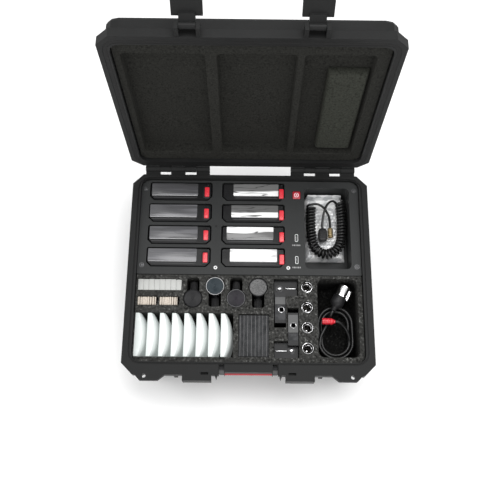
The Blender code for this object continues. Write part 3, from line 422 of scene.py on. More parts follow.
def add_slab(bm, outline, low, high, soften=0.0, steps=2, lower=0.0):
    """A flat-bottomed slab over an outline; soften rounds its top edge and lower its bottom edge."""
    bottom = [bm.verts.new((x, y, low)) for x, y in outline]
    grown = bmesh.ops.extrude_face_region(bm, geom=[bm.faces.new(bottom)])["geom"]
    top = [v for v in grown if isinstance(v, bmesh.types.BMVert)]
    bmesh.ops.translate(bm, verts=top, vec=(0.0, 0.0, high - low))
    for ring, size in ((top, soften), (bottom, lower)):
        if size:
            corners = set(ring)
            rim = dict.fromkeys(e for v in ring for e in v.link_edges if corners.issuperset(e.verts))
            bmesh.ops.bevel(bm, geom=list(rim), offset=size, segments=steps, profile=0.5, affect="EDGES",
                            material=-1)


def soft_outline(x0, x1, y0, y1, radius, steps=5):
    points = []
    for cx, cy, start in ((x1 - radius, y0 + radius, -90), (x1 - radius, y1 - radius, 0),
                          (x0 + radius, y1 - radius, 90), (x0 + radius, y0 + radius, 180)):
        for step in range(steps + 1):
            angle = math.radians(start + 90 * step / steps)
            points.append((cx + radius * math.cos(angle), cy + radius * math.sin(angle)))
    return points


def add_rod(bm, start, end, radius, sides=24, soften=0.0, far_radius=None):
    start, end = Vector(start), Vector(end)
    turn = (end - start).to_track_quat("Z", "Y").to_matrix().to_4x4()
    made = bmesh.ops.create_cone(bm, cap_ends=True, segments=sides, radius1=radius,
                                 radius2=radius if far_radius is None else far_radius,
                                 depth=(end - start).length,
                                 matrix=Matrix.Translation((start + end) / 2) @ turn)
    if soften:
        rims = {e for v in made["verts"] for e in v.link_edges
                if any(len(f.verts) > 4 for f in e.link_faces)}
        bmesh.ops.bevel(bm, geom=list(rims), offset=soften, segments=2, profile=0.5, affect="EDGES",
                        material=-1)


def add_turned(bm, profile, centre, along=(0.0, 0.0, 1.0), sides=40):
    """Spin a profile of (radius, height) round an axis through the centre."""
    profile = [(max(radius, 1e-7), height) for radius, height in profile]
    before = set(bm.verts)
    chain = [bm.verts.new((radius, 0.0, height)) for radius, height in profile]
    edges = [bm.edges.new(pair) for pair in zip(chain, chain[1:])]
    bmesh.ops.spin(bm, geom=chain + edges, cent=(0, 0, 0), axis=(0, 0, 1), angle=math.tau, steps=sides,
                   use_merge=True)
    made = [v for v in bm.verts if v not in before]
    bmesh.ops.remove_doubles(bm, verts=made, dist=2e-6)
    made = [v for v in bm.verts if v not in before]
    turn = Vector(along).to_track_quat("Z", "Y").to_matrix().to_4x4()
    bmesh.ops.transform(bm, matrix=Matrix.Translation(centre) @ turn, verts=made)


# %% [markdown]
# ## Camera, light and floor
# The camera looks down at the open case from 71 degrees above the table, with a slight roll. The light is a
# large soft box overhead, two strips at the sides and one low at the front, so that black plastic still shows
# its edges and the metal has something bright to mirror.

# %% Camera
eye = Vector((-0.00417, -0.44594, 1.5796))
aim = Vector((0.00099, 0.04629, 0.150))
camera = bpy.data.objects.new("camera", bpy.data.cameras.new("camera"))
bpy.context.scene.collection.objects.link(camera)
camera.data.lens = 50.1
camera.data.sensor_width = 36.0
camera.matrix_world = (Matrix.Translation(eye) @ (aim - eye).to_track_quat("-Z", "Y").to_matrix().to_4x4()
                       @ Matrix.Rotation(math.radians(1.15), 4, "Z"))
bpy.context.scene.camera = camera
print("camera", round((aim - eye).length, 3), "m from its aim")


# %% Lights and floor
def soft_box(name, at, towards, size, power):
    light = bpy.data.lights.new(name, "AREA")
    light.shape = "RECTANGLE"
    light.size, light.size_y = size
    light.energy = power
    lamp = bpy.data.objects.new(name, light)
    bpy.context.scene.collection.objects.link(lamp)
    at = Vector(at)
    lamp.matrix_world = (Matrix.Translation(at)
                         @ (Vector(towards) - at).to_track_quat("-Z", "Y").to_matrix().to_4x4())


soft_box("overhead", (0.25, 0.35, 2.1), (0.0, 0.0, 0.1), (1.6, 1.2), 26.0)
soft_box("left_strip", (-1.7, -0.1, 1.3), (0.0, 0.0, 0.1), (0.7, 1.6), 11.0)
soft_box("right_strip", (1.8, 0.2, 1.2), (0.0, 0.0, 0.1), (0.7, 1.6), 10.0)
soft_box("front_fill", (0.1, -1.9, 1.3), (0.0, 0.0, 0.2), (1.6, 0.8), 10.0)
world = bpy.data.worlds.new("studio")
bpy.context.scene.world = world
world.use_nodes = True
world.node_tree.nodes["Background"].inputs["Color"].default_value = (1.0, 1.0, 1.0, 1.0)
world.node_tree.nodes["Background"].inputs["Strength"].default_value = 0.74
bpy.context.scene.view_settings.view_transform = "Standard"

bm = bmesh.new()
bmesh.ops.create_grid(bm, x_segments=2, y_segments=2, size=6.0)
floor_mesh = bpy.data.meshes.new("floor")
bm.to_mesh(floor_mesh)
bm.free()
floor = bpy.data.objects.new("floor", floor_mesh)
bpy.context.scene.collection.objects.link(floor)
floor.location.z = -0.0006
floor_mesh.materials.append(finish("floor paper", moulded_grain, {
    "Base": (0.93, 0.93, 0.93), "Pale": (0.95, 0.95, 0.95), "Grain scale": 60.0, "Roughness": 0.7},
                                   bump=0.02))

# %% [markdown]
# ## The curly lead
# A curly lead is one cord: a straight tail from the connector, a long helix, and a second tail to the plug.
# The helix follows the U-shaped route that the imported tube takes. It starts at the top of a turn and ends at
# the bottom of one, so that each tail leaves sideways, along the turn, without a tight bend. The whole route
# is one open spline with a round bevel, so the cord keeps one true length.

# %% Smooth a route through given points
def smooth_route(points, spacing):
    """Points at an even spacing on a smooth curve through the given ones."""
    points = [Vector(p) for p in points]
    padded = [2 * points[0] - points[1], *points, 2 * points[-1] - points[-2]]
    fine = []
    for a, b, c, d in zip(padded, padded[1:], padded[2:], padded[3:]):
        for step in range(24):
            t = step / 24
            fine.append(0.5 * ((2 * b) + (c - a) * t + (2 * a - 5 * b + 4 * c - d) * t * t
                               + (3 * b - a - 3 * c + d) * t * t * t))
    fine.append(points[-1])
    total = sum((b - a).length for a, b in zip(fine, fine[1:]))
    count = max(2, round(total / spacing))
    route, walked, target = [fine[0]], 0.0, total / count
    for a, b in zip(fine, fine[1:]):
        length = (b - a).length
        while walked + length >= target - 1e-9 and len(route) < count:
            route.append(a.lerp(b, (target - walked) / length))
            target += total / count
        walked += length
    route.append(fine[-1])
    return route


def route_length(route):
    return sum((b - a).length for a, b in zip(route, route[1:]))


def lay_cord(name, route, radius, material, body, sides=5):
    """One open spline with a round bevel and closed ends."""
    curve = bpy.data.curves.new(name, "CURVE")
    curve.dimensions = "3D"
    curve.bevel_depth = radius
    curve.bevel_resolution = sides
    curve.use_fill_caps = True
    spline = curve.splines.new("POLY")
    spline.points.add(len(route) - 1)
    for point, co in zip(spline.points, route):
        point.co = (*co, 1.0)
    curve.materials.append(material)
    cord = bpy.data.objects.new(name, curve)
    bpy.context.scene.collection.objects.link(cord)
    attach(cord, body)
    return cord


# %% The helix and its tails
CURL_ROUTE = (
    (0.1400, 0.1680, 0.1090), (0.1385, 0.1420, 0.1090), (0.1385, 0.1120, 0.1090), (0.1400, 0.0870, 0.1090),
    (0.1480, 0.0650, 0.1090), (0.1660, 0.0530, 0.1090), (0.1850, 0.0560, 0.1090), (0.1990, 0.0690, 0.1090),
    (0.2060, 0.0900, 0.1090), (0.2075, 0.1170, 0.1090), (0.2075, 0.1470, 0.1090), (0.2060, 0.1760, 0.1090))
CURL_RADIUS = 0.0089
CURL_CORD = 0.0054
TURN_STEPS = 14

axis = smooth_route(CURL_ROUTE, 0.0005)
turns = round(route_length(axis) / 0.0074) + 0.5
steps = round(turns * TURN_STEPS)
helix = []
for step in range(steps + 1):
    at = step / steps * (len(axis) - 1)
    index = min(int(at), len(axis) - 2)
    centre = axis[index].lerp(axis[index + 1], at - index)
    forward = (axis[min(index + 6, len(axis) - 1)] - axis[max(index - 5, 0)]).normalized()
    side = Vector((0.0, 0.0, 1.0)).cross(forward).normalized()
    angle = math.tau * (0.25 + step / TURN_STEPS)
    helix.append(centre + CURL_RADIUS * (math.cos(angle) * side + math.sin(angle) * Vector((0.0, 0.0, 1.0))))
start, end = helix[0], helix[-1]
tail_left = smooth_route([
    (0.1815, 0.1130, 0.1110), (0.1815, 0.1250, 0.1108), (0.1790, 0.1440, 0.1100), (0.1690, 0.1625, 0.1110),
    (0.1570, 0.1690, 0.1150), start + Vector((0.0070, 0.0012, -0.0002)), start], 0.004)
tail_right = smooth_route([
    end, end + Vector((-0.0070, 0.0022, 0.0010)), (0.1900, 0.1810, 0.1090), (0.1780, 0.1715, 0.1170),
    (0.1690, 0.1530, 0.1175), (0.1642, 0.1265, 0.1130), (0.1640, 0.1131, 0.1110)], 0.004)
curl_route = tail_left[:-1] + helix + tail_right[1:]
curly_lead = lay_cord("curly_lead", curl_route, CURL_CORD / 2, cord_rubber, "case", 4)
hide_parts("curly_lead_coil", "curly_lead_tail_left", "curly_lead_tail_right")

# %% [markdown]
# ### Its connector and plug
# The brass connector is a knurled sleeve: a turned body whose middle rings are pulled in and out. The plug is
# a flat moulding with a strain relief.

# %% The connector and the plug
bm = bmesh.new()
grooves = [(0.0062 if i % 2 else 0.0055, -0.0008 - 0.0016 * i) for i in range(12)]
add_turned(bm, [(0.0, 0.0), (0.0042, 0.0), (0.0056, -0.0004), *grooves, (0.0060, -0.0206), (0.0046, -0.0212),
                (0.0042, -0.0180), (0.0, -0.0180)], (0.1815, 0.1127, 0.1110), along=(0.0, 1.0, 0.0), sides=36)
connector = keep("lead_connector", bm, brass, "case", stands_for=["curly_lead_connector"])
bm = bmesh.new()
add_slab(bm, soft_outline(0.1543, 0.1739, 0.0813, 0.1115, 0.0068), 0.1038, 0.1182, soften=0.0034, steps=4,
         lower=0.002)
add_turned(bm,
           [(0.0, 0.0020), (0.0034, 0.0020), (0.0036, 0.0), (0.0046, -0.0040), (0.0046, -0.0060),
            (0.0, -0.0060)],
           (0.1640, 0.1108, 0.1110), along=(0.0, 1.0, 0.0), sides=28)
for rib in range(3):
    add_block(bm, (0.1575, 0.0885 + 0.0045 * rib, 0.1176), (0.1705, 0.0905 + 0.0045 * rib, 0.1188), 0.0004)
lead_plug = keep("lead_plug", bm, fitting_plastic, "case", stands_for=["curly_lead_plug"])

# %% [markdown]
# ## The mains lead
# The cable lies in its pocket as a hank of long loops. The loops are a racetrack whose radius and height
# drift, so that turns lie beside and on each other. The two ends rise from the hank to the plug and the red
# socket.

# %% The hank and its two runs
HANK_MIDDLE = Vector((0.1895, -0.12075, 0.0))
HANK_STRAIGHT = 0.02025
LEAD_RADIUS = 0.0035
PLUG_RUN = (
    (0.1818, -0.0784, 0.1080), (0.1793, -0.0830, 0.1079), (0.1765, -0.0890, 0.1020),
            (0.1735, -0.0955, 0.0955),
    (0.1710, -0.1015, 0.0935), (0.1675, -0.1090, 0.0915), (0.1625, -0.1190, 0.0902),
            (0.1570, -0.1300, 0.0893))
SOCKET_RUN = (
    (0.2188, -0.1360, 0.0895), (0.2178, -0.1300, 0.0912), (0.2140, -0.1200, 0.0940),
              (0.2080, -0.1110, 0.0980),
    (0.2000, -0.1045, 0.1035), (0.1930, -0.1012, 0.1069), (0.1883, -0.1010, 0.1070))


def racetrack(part, half):
    """A point of a loop; part 0 is the middle of its left side, and it runs to the front first."""
    straight, arc = HANK_STRAIGHT, math.pi * half
    s = (part % 1.0) * (4 * straight + 2 * arc)
    if s < straight:
        return Vector((-half, -s, 0.0))
    s -= straight
    if s < arc:
        a = math.pi + s / half
        return Vector((half * math.cos(a), -straight + half * math.sin(a), 0.0))
    s -= arc
    if s < 2 * straight:
        return Vector((half, -straight + s, 0.0))
    s -= 2 * straight
    if s < arc:
        a = s / half
        return Vector((half * math.cos(a), straight + half * math.sin(a), 0.0))
    return Vector((-half, straight - (s - arc), 0.0))


def between(value, marks):
    """Read a value off a list of (position, value) marks, with eased steps."""
    for (a, low), (b, high) in zip(marks, marks[1:]):
        if value <= b:
            t = max(0.0, (value - a) / (b - a))
            return low + (high - low) * t * t * (3 - 2 * t)
    return marks[-1][1]


loops = []
start, stop, steps_per_loop = 0.09, 5.45, 30
for step in range(int((stop - start) * steps_per_loop) + 1):
    part = start + step / steps_per_loop
    half = between(part, [(0.0, 0.0362), (0.4, 0.0368), (3.05, 0.0366), (3.4, 0.0294), (6.0, 0.0294)])
    z = between(part, [(0.0, 0.0888), (1.0, 0.0820), (2.0, 0.0748), (3.0, 0.0664)]) if part < 3.0 else \
        between(part, [(3.0, 0.0664), (3.9, 0.0700), (4.9, 0.0776), (5.45, 0.0872)])
    wobble = 0.0006 * noise.noise(Vector((part * 2.3, 0.0, 0.0)))
    loops.append(HANK_MIDDLE + racetrack(part, half + wobble) + Vector((0.0, 0.0, z)))
lead_points = list(PLUG_RUN) + loops + list(SOCKET_RUN)
lead_route = smooth_route(lead_points, 0.0035)
mains_lead = lay_cord("mains_lead", lead_route, LEAD_RADIUS, cord_rubber, "case", 5)
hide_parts("mains_lead_hank", "mains_lead_plug_run", "mains_lead_socket_run")

# %% [markdown]
# ### The plug and the red socket
# The plug is a black moulding with a chrome shell. A turned profile gives the steps of both, and a narrow
# chrome lever lies beside the shell.

# %% The mains plug
tilt = math.radians(28.0)
along = Vector((math.sin(tilt), math.cos(tilt), 0.0))
across = Vector((math.cos(tilt), -math.sin(tilt), 0.0))
plug_middle = Vector((0.1985, -0.0470, 0.1080))
bm = bmesh.new()
add_turned(bm, [(0.0, -0.0338), (0.0048, -0.0338), (0.0058, -0.0320), (0.0062, -0.0262), (0.0100, -0.0225),
                (0.0138, -0.0180), (0.0148, -0.0150), (0.0150, -0.0060), (0.0143, -0.0052), (0.0143, -0.0030),
                (0.0150, -0.0022), (0.0150, -0.0006), (0.0, -0.0006)], plug_middle, along=along, sides=44)
for ring in range(3):
    add_turned(bm, [(0.0050, -0.0316 + 0.0022 * ring), (0.0066, -0.0312 + 0.0022 * ring),
                    (0.0066, -0.0304 + 0.0022 * ring), (0.0050, -0.0300 + 0.0022 * ring)], plug_middle,
               along=along)
plug_body = keep("mains_plug", bm, fitting_plastic, "case", stands_for=["mains_plug_body"])
bm = bmesh.new()
add_turned(bm, [(0.0, 0.0004), (0.0144, 0.0004), (0.0149, 0.0010), (0.0149, 0.0040), (0.0138, 0.0046),
                (0.0138, 0.0200), (0.0141, 0.0206), (0.0141, 0.0248), (0.0134, 0.0256), (0.0112, 0.0256),
                (0.0106, 0.0248), (0.0104, 0.0120), (0.0, 0.0120)], plug_middle, along=along, sides=44)
plug_shell = keep("mains_plug_chrome", bm, chrome, "case", stands_for=["mains_plug_shell"])
bm = bmesh.new()
lever = [plug_middle + across * 0.0163 + along * d + Vector((0, 0, 0.0035)) for d in (-0.0020, 0.0225)]
add_rod(bm, lever[0], lever[1], 0.0030, 20, soften=0.0010)
add_rod(bm, lever[0] + along * 0.004 - across * 0.004, lever[0] + along * 0.004 + across * 0.001, 0.0020, 16)
plug_lever = keep("mains_plug_lever", bm, chrome, "case")
bm = bmesh.new()
for pin in (-0.005, 0.0, 0.005):
    add_rod(bm, plug_middle + along * 0.0121 + across * pin, plug_middle + along * 0.0235 + across * pin,
            0.0014, 12, 0.0004)
plug_pins = keep("mains_plug_pins", bm, brass, "case")

# %% The red socket
bm = bmesh.new()
way = Vector((0.0287, -0.0010, 0.0)).normalized()
add_turned(bm,
           [(0.0, 0.0), (0.0058, 0.0), (0.0070, 0.0010), (0.0071, 0.0150), (0.0064, 0.0158), (0.0064, 0.0176),
                (0.0071, 0.0184), (0.0071, 0.0212), (0.0056, 0.0240), (0.0040, 0.0262), (0.0040, 0.0284),
                (0.0, 0.0284)], (0.1581, -0.1000, 0.1070), along=way, sides=36)
for rib in range(8):
    add_block(bm, (0.1600 + 0.0016 * rib, -0.1030, 0.1136), (0.1608 + 0.0016 * rib, -0.0972, 0.1142), 0.0002,
              1)
lead_socket = keep("mains_socket", bm, red_plastic, "case", stands_for=["mains_lead_socket"])

# %% [markdown]
# ## The case
# The case, its lid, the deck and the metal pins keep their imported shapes, because those are right as they
# are. They only need a finish in place of the plain one, so each finish goes into the slots of their own
# objects.

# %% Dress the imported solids
def dress(material, *names):
    """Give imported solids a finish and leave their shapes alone."""
    for name in names:
        for slot in nodes[name].material_slots:
            slot.material = material


dress(case_plastic, "base_shell", "lid_shell", "latch_left", "latch_right")
dress(fitting_plastic, "carry_handle")
dress(panel_plastic, "clamp_bracket_rear", "clamp_bracket_front")
dress(deck_plastic, "charging_deck")
dress(seal_rubber, "lid_seal")
dress(steel, "hinge_pin_left", "hinge_pin_right", "latch_pin_left", "latch_pin_right")
dress(panel_plastic, *(f"light_panel_{number}" for number in range(1, 9)))
dress(board_green, "usb_board")
dress(grey_anodised, "power_supply")
print("dressed", sum(1 for node in nodes.values() if node.material_slots), "packed solids")

# %% [markdown]
# ## The light panels
# Each panel is a black bar that stands on its edge, so only its end shows. A silver window takes up most of
# it, with a painted highlight as a pale strip along its front and painted sheen as a grey band below; a red
# tab sits in a raised black frame. A window is a thin slab with rounded edges, as the film's edge must catch
# light; its streaks are painted reflection.

# %% Where the panels stand
SLOT_X = (-0.1545, 0.0075)
SLOT_Y = (0.1870, 0.1352, 0.0834, 0.0316)
PANEL_TOP = 0.1400
LEFT_WINDOWS = ((-0.2205, -0.1170), (-0.2225, -0.1175), (-0.2205, -0.1150), (-0.2215, -0.1155))
RIGHT_WINDOWS = ((-0.0372, 0.0640), (-0.0414, 0.0630), (-0.0507, 0.0522), (-0.0427, 0.0600))
windows = list(zip([SLOT_X[0]] * 4, SLOT_Y, LEFT_WINDOWS)) + list(zip([SLOT_X[1]] * 4, SLOT_Y, RIGHT_WINDOWS))


def add_pane(bm, x0, x1, y0, y1, low, high, radius=0.0012, soften=0.0003):
    add_slab(bm, soft_outline(x0, x1, y0, y1, radius, 3), low, high, soften=soften, steps=2)


# %% Windows, tabs and ribs
for number, (x, y, (x0, x1)) in enumerate(windows, 1):
    body, bright = f"light_panel_{number}_body", number > 4
    bm = bmesh.new()
    add_pane(bm, x0, x1, y - 0.0082, y + 0.0199, PANEL_TOP, PANEL_TOP + 0.0006)
    keep(f"panel_window_{number}", bm, window_films[number - 1], body)
    # painted highlight: a thin pale strip along the window's front stands for the light its edge catches
    bm = bmesh.new()
    add_pane(bm, x0 + 0.001, x1 - 0.001, y - 0.0096, y - 0.0086, PANEL_TOP, PANEL_TOP + 0.0007, 0.0003,
             0.0001)
    keep(f"panel_painted_highlight_{number}", bm, trim_bright, body)
    # painted sheen: a lighter grey band below stands for light on the body's flat front strip
    bm = bmesh.new()
    add_pane(bm, x0 + 0.004, x1 - 0.002, y - 0.0150, y - 0.0118, PANEL_TOP - 0.0001, PANEL_TOP + 0.0002,
             0.0008, 0.0001)
    keep(f"panel_painted_sheen_{number}", bm, painted_sheen_grey, body)
    bm = bmesh.new()
    tab_x = x + (0.0703 - 0.0075 if bright else 0.0580)
    tab_y = y - (0.0040 if bright else 0.0012)
    add_slab(bm, soft_outline(tab_x - 0.0052, tab_x + 0.0052, tab_y - 0.0114, tab_y + 0.0114, 0.0022),
             PANEL_TOP, PANEL_TOP + 0.0042, soften=0.0014, steps=4)
    for rib in range(3):
        add_block(bm, (tab_x - 0.0030, tab_y - 0.0030 + 0.003 * rib - 0.0005, PANEL_TOP + 0.0040),
                  (tab_x + 0.0030, tab_y - 0.0030 + 0.003 * rib + 0.0005, PANEL_TOP + 0.0046), 0.0002, 1)
    keep(f"panel_tab_{number}", bm, red_plastic, body)
    bm = bmesh.new()
    if bright:
        for rib in range(int((x0 - (x - 0.0655)) / 0.0019)):
            rib_x = x - 0.0650 + 0.0019 * rib
            rib_end = min(0.0175, 0.0200 - max(0.0, abs(rib_x - x) - 0.0592))
            add_block(bm, (rib_x, y - 0.0020, PANEL_TOP - 0.0002),
                      (rib_x + 0.0009, y + rib_end, PANEL_TOP + 0.0006), 0.0002, 1)
        add_slab(bm, soft_outline(tab_x - 0.0068, tab_x + 0.0056, tab_y - 0.0124, tab_y + 0.0130, 0.0026),
                 PANEL_TOP - 0.0002,
                 PANEL_TOP + 0.0011, soften=0.0006)
        add_rod(bm, (tab_x + 0.0010, y + 0.0172, PANEL_TOP),
                (tab_x + 0.0010, y + 0.0172, PANEL_TOP + 0.0016), 0.0018, 20, 0.0004)
    else:
        add_slab(bm, soft_outline(tab_x - 0.0090, tab_x + 0.0072, tab_y - 0.0155, tab_y + 0.0160, 0.0060),
                 PANEL_TOP - 0.0002,
                 PANEL_TOP + 0.0014, soften=0.0009, steps=3)
        add_rod(bm, (tab_x + 0.0020, y + 0.0166, PANEL_TOP),
                (tab_x + 0.0020, y + 0.0166, PANEL_TOP + 0.0018), 0.0016, 20, 0.0004)
    keep(f"panel_frame_{number}", bm, fitting_plastic, body)
print("8 panels with windows", [round(1000 * (b - a)) for _, _, (a, b) in windows], "mm long")

# %% Contacts at the foot of each panel
for number, (x, y, _) in enumerate(windows, 1):
    bm = bmesh.new()
    for pad in (-0.009, -0.003, 0.003, 0.009):
        add_pane(bm, x + pad - 0.0017, x + pad + 0.0017, y - 0.0030, y + 0.0030, 0.0499, 0.0503, 0.0008,
                 0.0001)
    bmesh.ops.translate(bm, verts=bm.verts, vec=(0.0, 0.0, -0.0002))
    keep(f"panel_contacts_{number}", bm, brass, f"light_panel_{number}_body")

# %% [markdown]
# ## The charging deck
# The deck carries four screws, a red badge, two ringed sockets and two charging ports with marks below them.
# They are small, so each is a turned or framed shape a millimetre or two high. The marks are plain bars.

# %% Frames, rings and screws
DECK_TOP = 0.1420


def add_frame(bm, outer, inner, low, high):
    """A flat ring between two outlines with the same number of points."""
    loops = [[bm.verts.new((x, y, low)) for x, y in outline] for outline in (outer, inner)]
    ring = []
    for i in range(len(outer)):
        j = (i + 1) % len(outer)
        ring.append(bm.faces.new((loops[0][i], loops[0][j], loops[1][j], loops[1][i])))
    top = bmesh.ops.extrude_face_region(bm, geom=ring)["geom"]
    bmesh.ops.translate(bm, verts=[v for v in top if isinstance(v, bmesh.types.BMVert)],
                        vec=(0.0, 0.0, high - low))


bm = bmesh.new()
for x, y in ((-0.2335, 0.1920), (0.2335, 0.1920), (-0.2335, 0.0125), (0.2335, 0.0125)):
    add_turned(bm,
               [(0.0, 0.0002), (0.0013, 0.0002), (0.0015, 0.0014), (0.0019, 0.0016), (0.0030, 0.0010),
                (0.0034, 0.0)],
               (x, y, DECK_TOP), sides=32)
    add_frame(bm, soft_outline(x - 0.0050, x + 0.0050, y - 0.0050, y + 0.0050, 0.0049, 6),
              soft_outline(x - 0.0042, x + 0.0042, y - 0.0042, y + 0.0042, 0.0041, 6), DECK_TOP - 0.0001,
              DECK_TOP + 0.0003)
keep("deck_screws", bm, steel_dark, "case")

# %% The ringed sockets, and dark discs painted as the shade in their holes and in one more hole
bm = bmesh.new()
for x, y in ((-0.0735, 0.0080), (0.0843, 0.0087)):
    add_turned(bm,
               [(0.0017, -0.0010), (0.0017, 0.0008), (0.0021, 0.0012), (0.0035, 0.0012), (0.0041, 0.0006),
                (0.0041, -0.0010)],
               (x, y, DECK_TOP), sides=36)
keep("socket_rings", bm, mark_white, "case")
# painted shade: black discs stand for the shade inside the socket holes and the lone hole
bm = bmesh.new()
for x, y, radius in ((-0.0735, 0.0080, 0.0017), (0.0843, 0.0087, 0.0017), (-0.0742, 0.1040, 0.0023)):
    add_turned(bm,
               [(0.0, 0.0001), (radius * 0.8, 0.0001), (radius, 0.0004), (radius, -0.0004), (0.0, -0.0004)],
               (x, y, DECK_TOP), sides=24)
keep("painted_shade_holes", bm, panel_plastic, "case")

# %% The charging ports and their marks
bm = bmesh.new()
dark = bmesh.new()
marks = bmesh.new()
for y in (0.0780, 0.0269):
    add_frame(bm, soft_outline(0.0996, 0.1064, y - 0.0088, y + 0.0088, 0.0030, 5),
              soft_outline(0.1006, 0.1054, y - 0.0078, y + 0.0078, 0.0021, 5), DECK_TOP - 0.0004,
              DECK_TOP + 0.0004)
    add_block(dark, (0.1020, y - 0.0055, DECK_TOP - 0.0040), (0.1033, y + 0.0055, DECK_TOP - 0.0006), 0.0002,
              1)
    for bar, length in enumerate((0.0022, 0.0036, 0.0016, 0.0030, 0.0024)):
        start = 0.0935 + (0.0, 0.0033, 0.0084, 0.0111, 0.0154)[bar]
        add_pane(marks, start, start + length, y - 0.0186, y - 0.0152, DECK_TOP - 0.0001, DECK_TOP + 0.0002,
                 0.0005, 0.0001)
keep("port_frames", bm, mark_white, "case")
keep("port_tongues", dark, steel_dark, "case")
keep("port_marks", marks, mark_grey, "case")

# %% The badge
bm = bmesh.new()
add_slab(bm, soft_outline(0.0957, 0.1129, 0.1712, 0.1894, 0.0022), 0.1405, 0.1424, soften=0.0006)
keep("deck_badge", bm, badge_red, "case")
bm = bmesh.new()
add_turned(bm, [(0.0034, 0.0), (0.0034, 0.0003), (0.0056, 0.0003), (0.0056, 0.0)], (0.1043, 0.1803, 0.1423),
           sides=32)
add_block(bm, (0.1032, 0.1750, 0.1422), (0.1054, 0.1856, 0.1426), 0.0001, 1)
keep("badge_mark", bm, mark_pink, "case")
print("deck details stand", round(1000 * (0.1426 - DECK_TOP), 1), "mm proud at most")

# %% [markdown]
# ## The dome diffusers
# A diffuser is a thin white bowl that clips over a panel. It stands on edge in the foam. A grid is pushed out
# into the crown, its rim is drawn back to a flat foot, and a Solidify modifier gives it a wall. The packed
# dome has few facets, so a finer one replaces it.

# %% Push grids out into domes
DOME_Y, DOME_Z, DOME_CROWN = (-0.1855, -0.0928), (0.0340, 0.1385), 0.0252
for index in range(8):
    bm = bmesh.new()
    bmesh.ops.create_grid(bm, x_segments=36, y_segments=26, size=1.0)
    rim = [e for e in bm.edges if e.is_boundary]
    foot = {v for v in bmesh.ops.extrude_edge_only(bm, edges=rim)["geom"]
            if isinstance(v, bmesh.types.BMVert)}
    for v in bm.verts:
        u, w = v.co.x, math.copysign(abs(v.co.y) ** 0.6, v.co.y)
        height = 0.0 if v in foot else DOME_CROWN * (1 - 0.50 * abs(u) ** 2.2) * (1 - 0.40 * abs(w) ** 7)
        v.co = (-0.2403 + 0.0259 * index + height, sum(DOME_Y) / 2 + (DOME_Y[1] - DOME_Y[0]) / 2 * u,
                sum(DOME_Z) / 2 + (DOME_Z[1] - DOME_Z[0]) / 2 * w)
    dome = keep(f"dome_{index + 1}", bm, glowing_dome_white, f"diffuser_dome_{index + 1}_body", smooth=40.0,
                stands_for=[f"diffuser_dome_{index + 1}"])
    top = max(dome.data.polygons, key=lambda face: face.center.x)
    if top.normal.x < 0:
        dome.data.flip_normals()
    wall = dome.modifiers.new("wall", "SOLIDIFY")
    wall.thickness = 0.0020
    wall.offset = -1.0
    wall.use_even_offset = True
    wall.use_rim = True
    soft = dome.modifiers.new("soft edge", "BEVEL")
    soft.width = 0.0007
    soft.segments = 2
    soft.limit_method = "ANGLE"
    soft.angle_limit = math.radians(50.0)
print("8 domes with a", round(1000 * wall.thickness, 1), "mm wall")

# %% [markdown]
# ## The round mounts
# A mount is a round head on a stem, with a short ribbed arm. Head, stem and arm are turned, so their
# profiles are spun, and the arm's ribs are thin bars laid along it. The four heads differ: one is matt, one
# has a light rim, one a grey rim, and one a speckled metal face.

# %% Turn the heads, stems and arms
MOUNTS = ((-0.1205, -0.0604, 1), (-0.0735, -0.0325, -1), (-0.0279, -0.0592, 1), (0.0194, -0.0342, -1))


def ringed_face(inner, outer, high, pitch, depth):
    """The profile of a face with shallow rings turned into it."""
    count = int((outer - inner) / pitch)
    return [(inner + pitch * (i + part), high - (depth if part in (0.35, 0.65) else 0.0))
            for i in range(count) for part in (0.0, 0.35, 0.65)] + [(outer, high)]


for number, (x, y, side) in enumerate(MOUNTS, 1):
    bm = bmesh.new()
    add_turned(bm, [(0.0, 0.1376), (0.0184, 0.1376), (0.0186, 0.1386), (0.0192, 0.1390), (0.0199, 0.1384),
                    (0.0200, 0.1374), (0.0200, 0.1284), (0.0192, 0.1272), (0.0132, 0.1270), (0.0130, 0.1262),
                    (0.0130, 0.0803), (0.0121, 0.0794), (0.0, 0.0794)], (x, y, 0.0), sides=56)
    add_turned(bm,
               [(0.0, 0.0), (0.0090, 0.0), (0.0090, 0.0190),
                *[(0.0095 if i % 2 else 0.0088, 0.0196 + 0.0016 * i)
                    for i in range(14)], (0.0094, 0.0424), (0.0086, 0.0438), (0.0, 0.0438)],
               (x, y, 0.1100), along=(0.0, side, 0.0), sides=36)
    for rib in range(9):
        across = -0.0072 + 0.0018 * rib
        lift = math.sqrt(0.0093 ** 2 - across ** 2)
        ends = sorted((y + side * 0.0205, y + side * 0.0425))
        add_block(bm, (x + across - 0.0004, ends[0], 0.1100 + lift - 0.0008),
                  (x + across + 0.0004, ends[1], 0.1100 + lift + 0.0002), 0.0001, 1)
    keep(f"mount_{number}", bm, fitting_plastic, f"round_mount_{number}_body",
         stands_for=[f"round_mount_{number}"])
    bm = bmesh.new()
    nub = [(0.0, 0.1392), (0.0014, 0.1392), (0.0020, 0.1386), (0.0022, 0.1380)]
    add_turned(bm,
               nub + ringed_face(0.0026, 0.0178, 0.1383, 0.0019, 0.00035)
               + [(0.0183, 0.1378), (0.0183, 0.1370), (0.0, 0.1370)],
               (x, y, 0.0), sides=56)
    keep(f"mount_face_{number}", bm, mount_faces[number - 1], f"round_mount_{number}_body")
    if number > 1:
        bm = bmesh.new()
        add_turned(bm, [(0.0184, 0.1386), (0.0187, 0.1391), (0.0193, 0.1391), (0.0195, 0.1386)], (x, y, 0.0),
                   sides=56)
        keep(f"mount_rim_{number}", bm, (trim_bright, trim_grey, fitting_plastic)[number - 2],
             f"round_mount_{number}_body")
print("mounts are", round(2000 * 0.0200), "mm across")

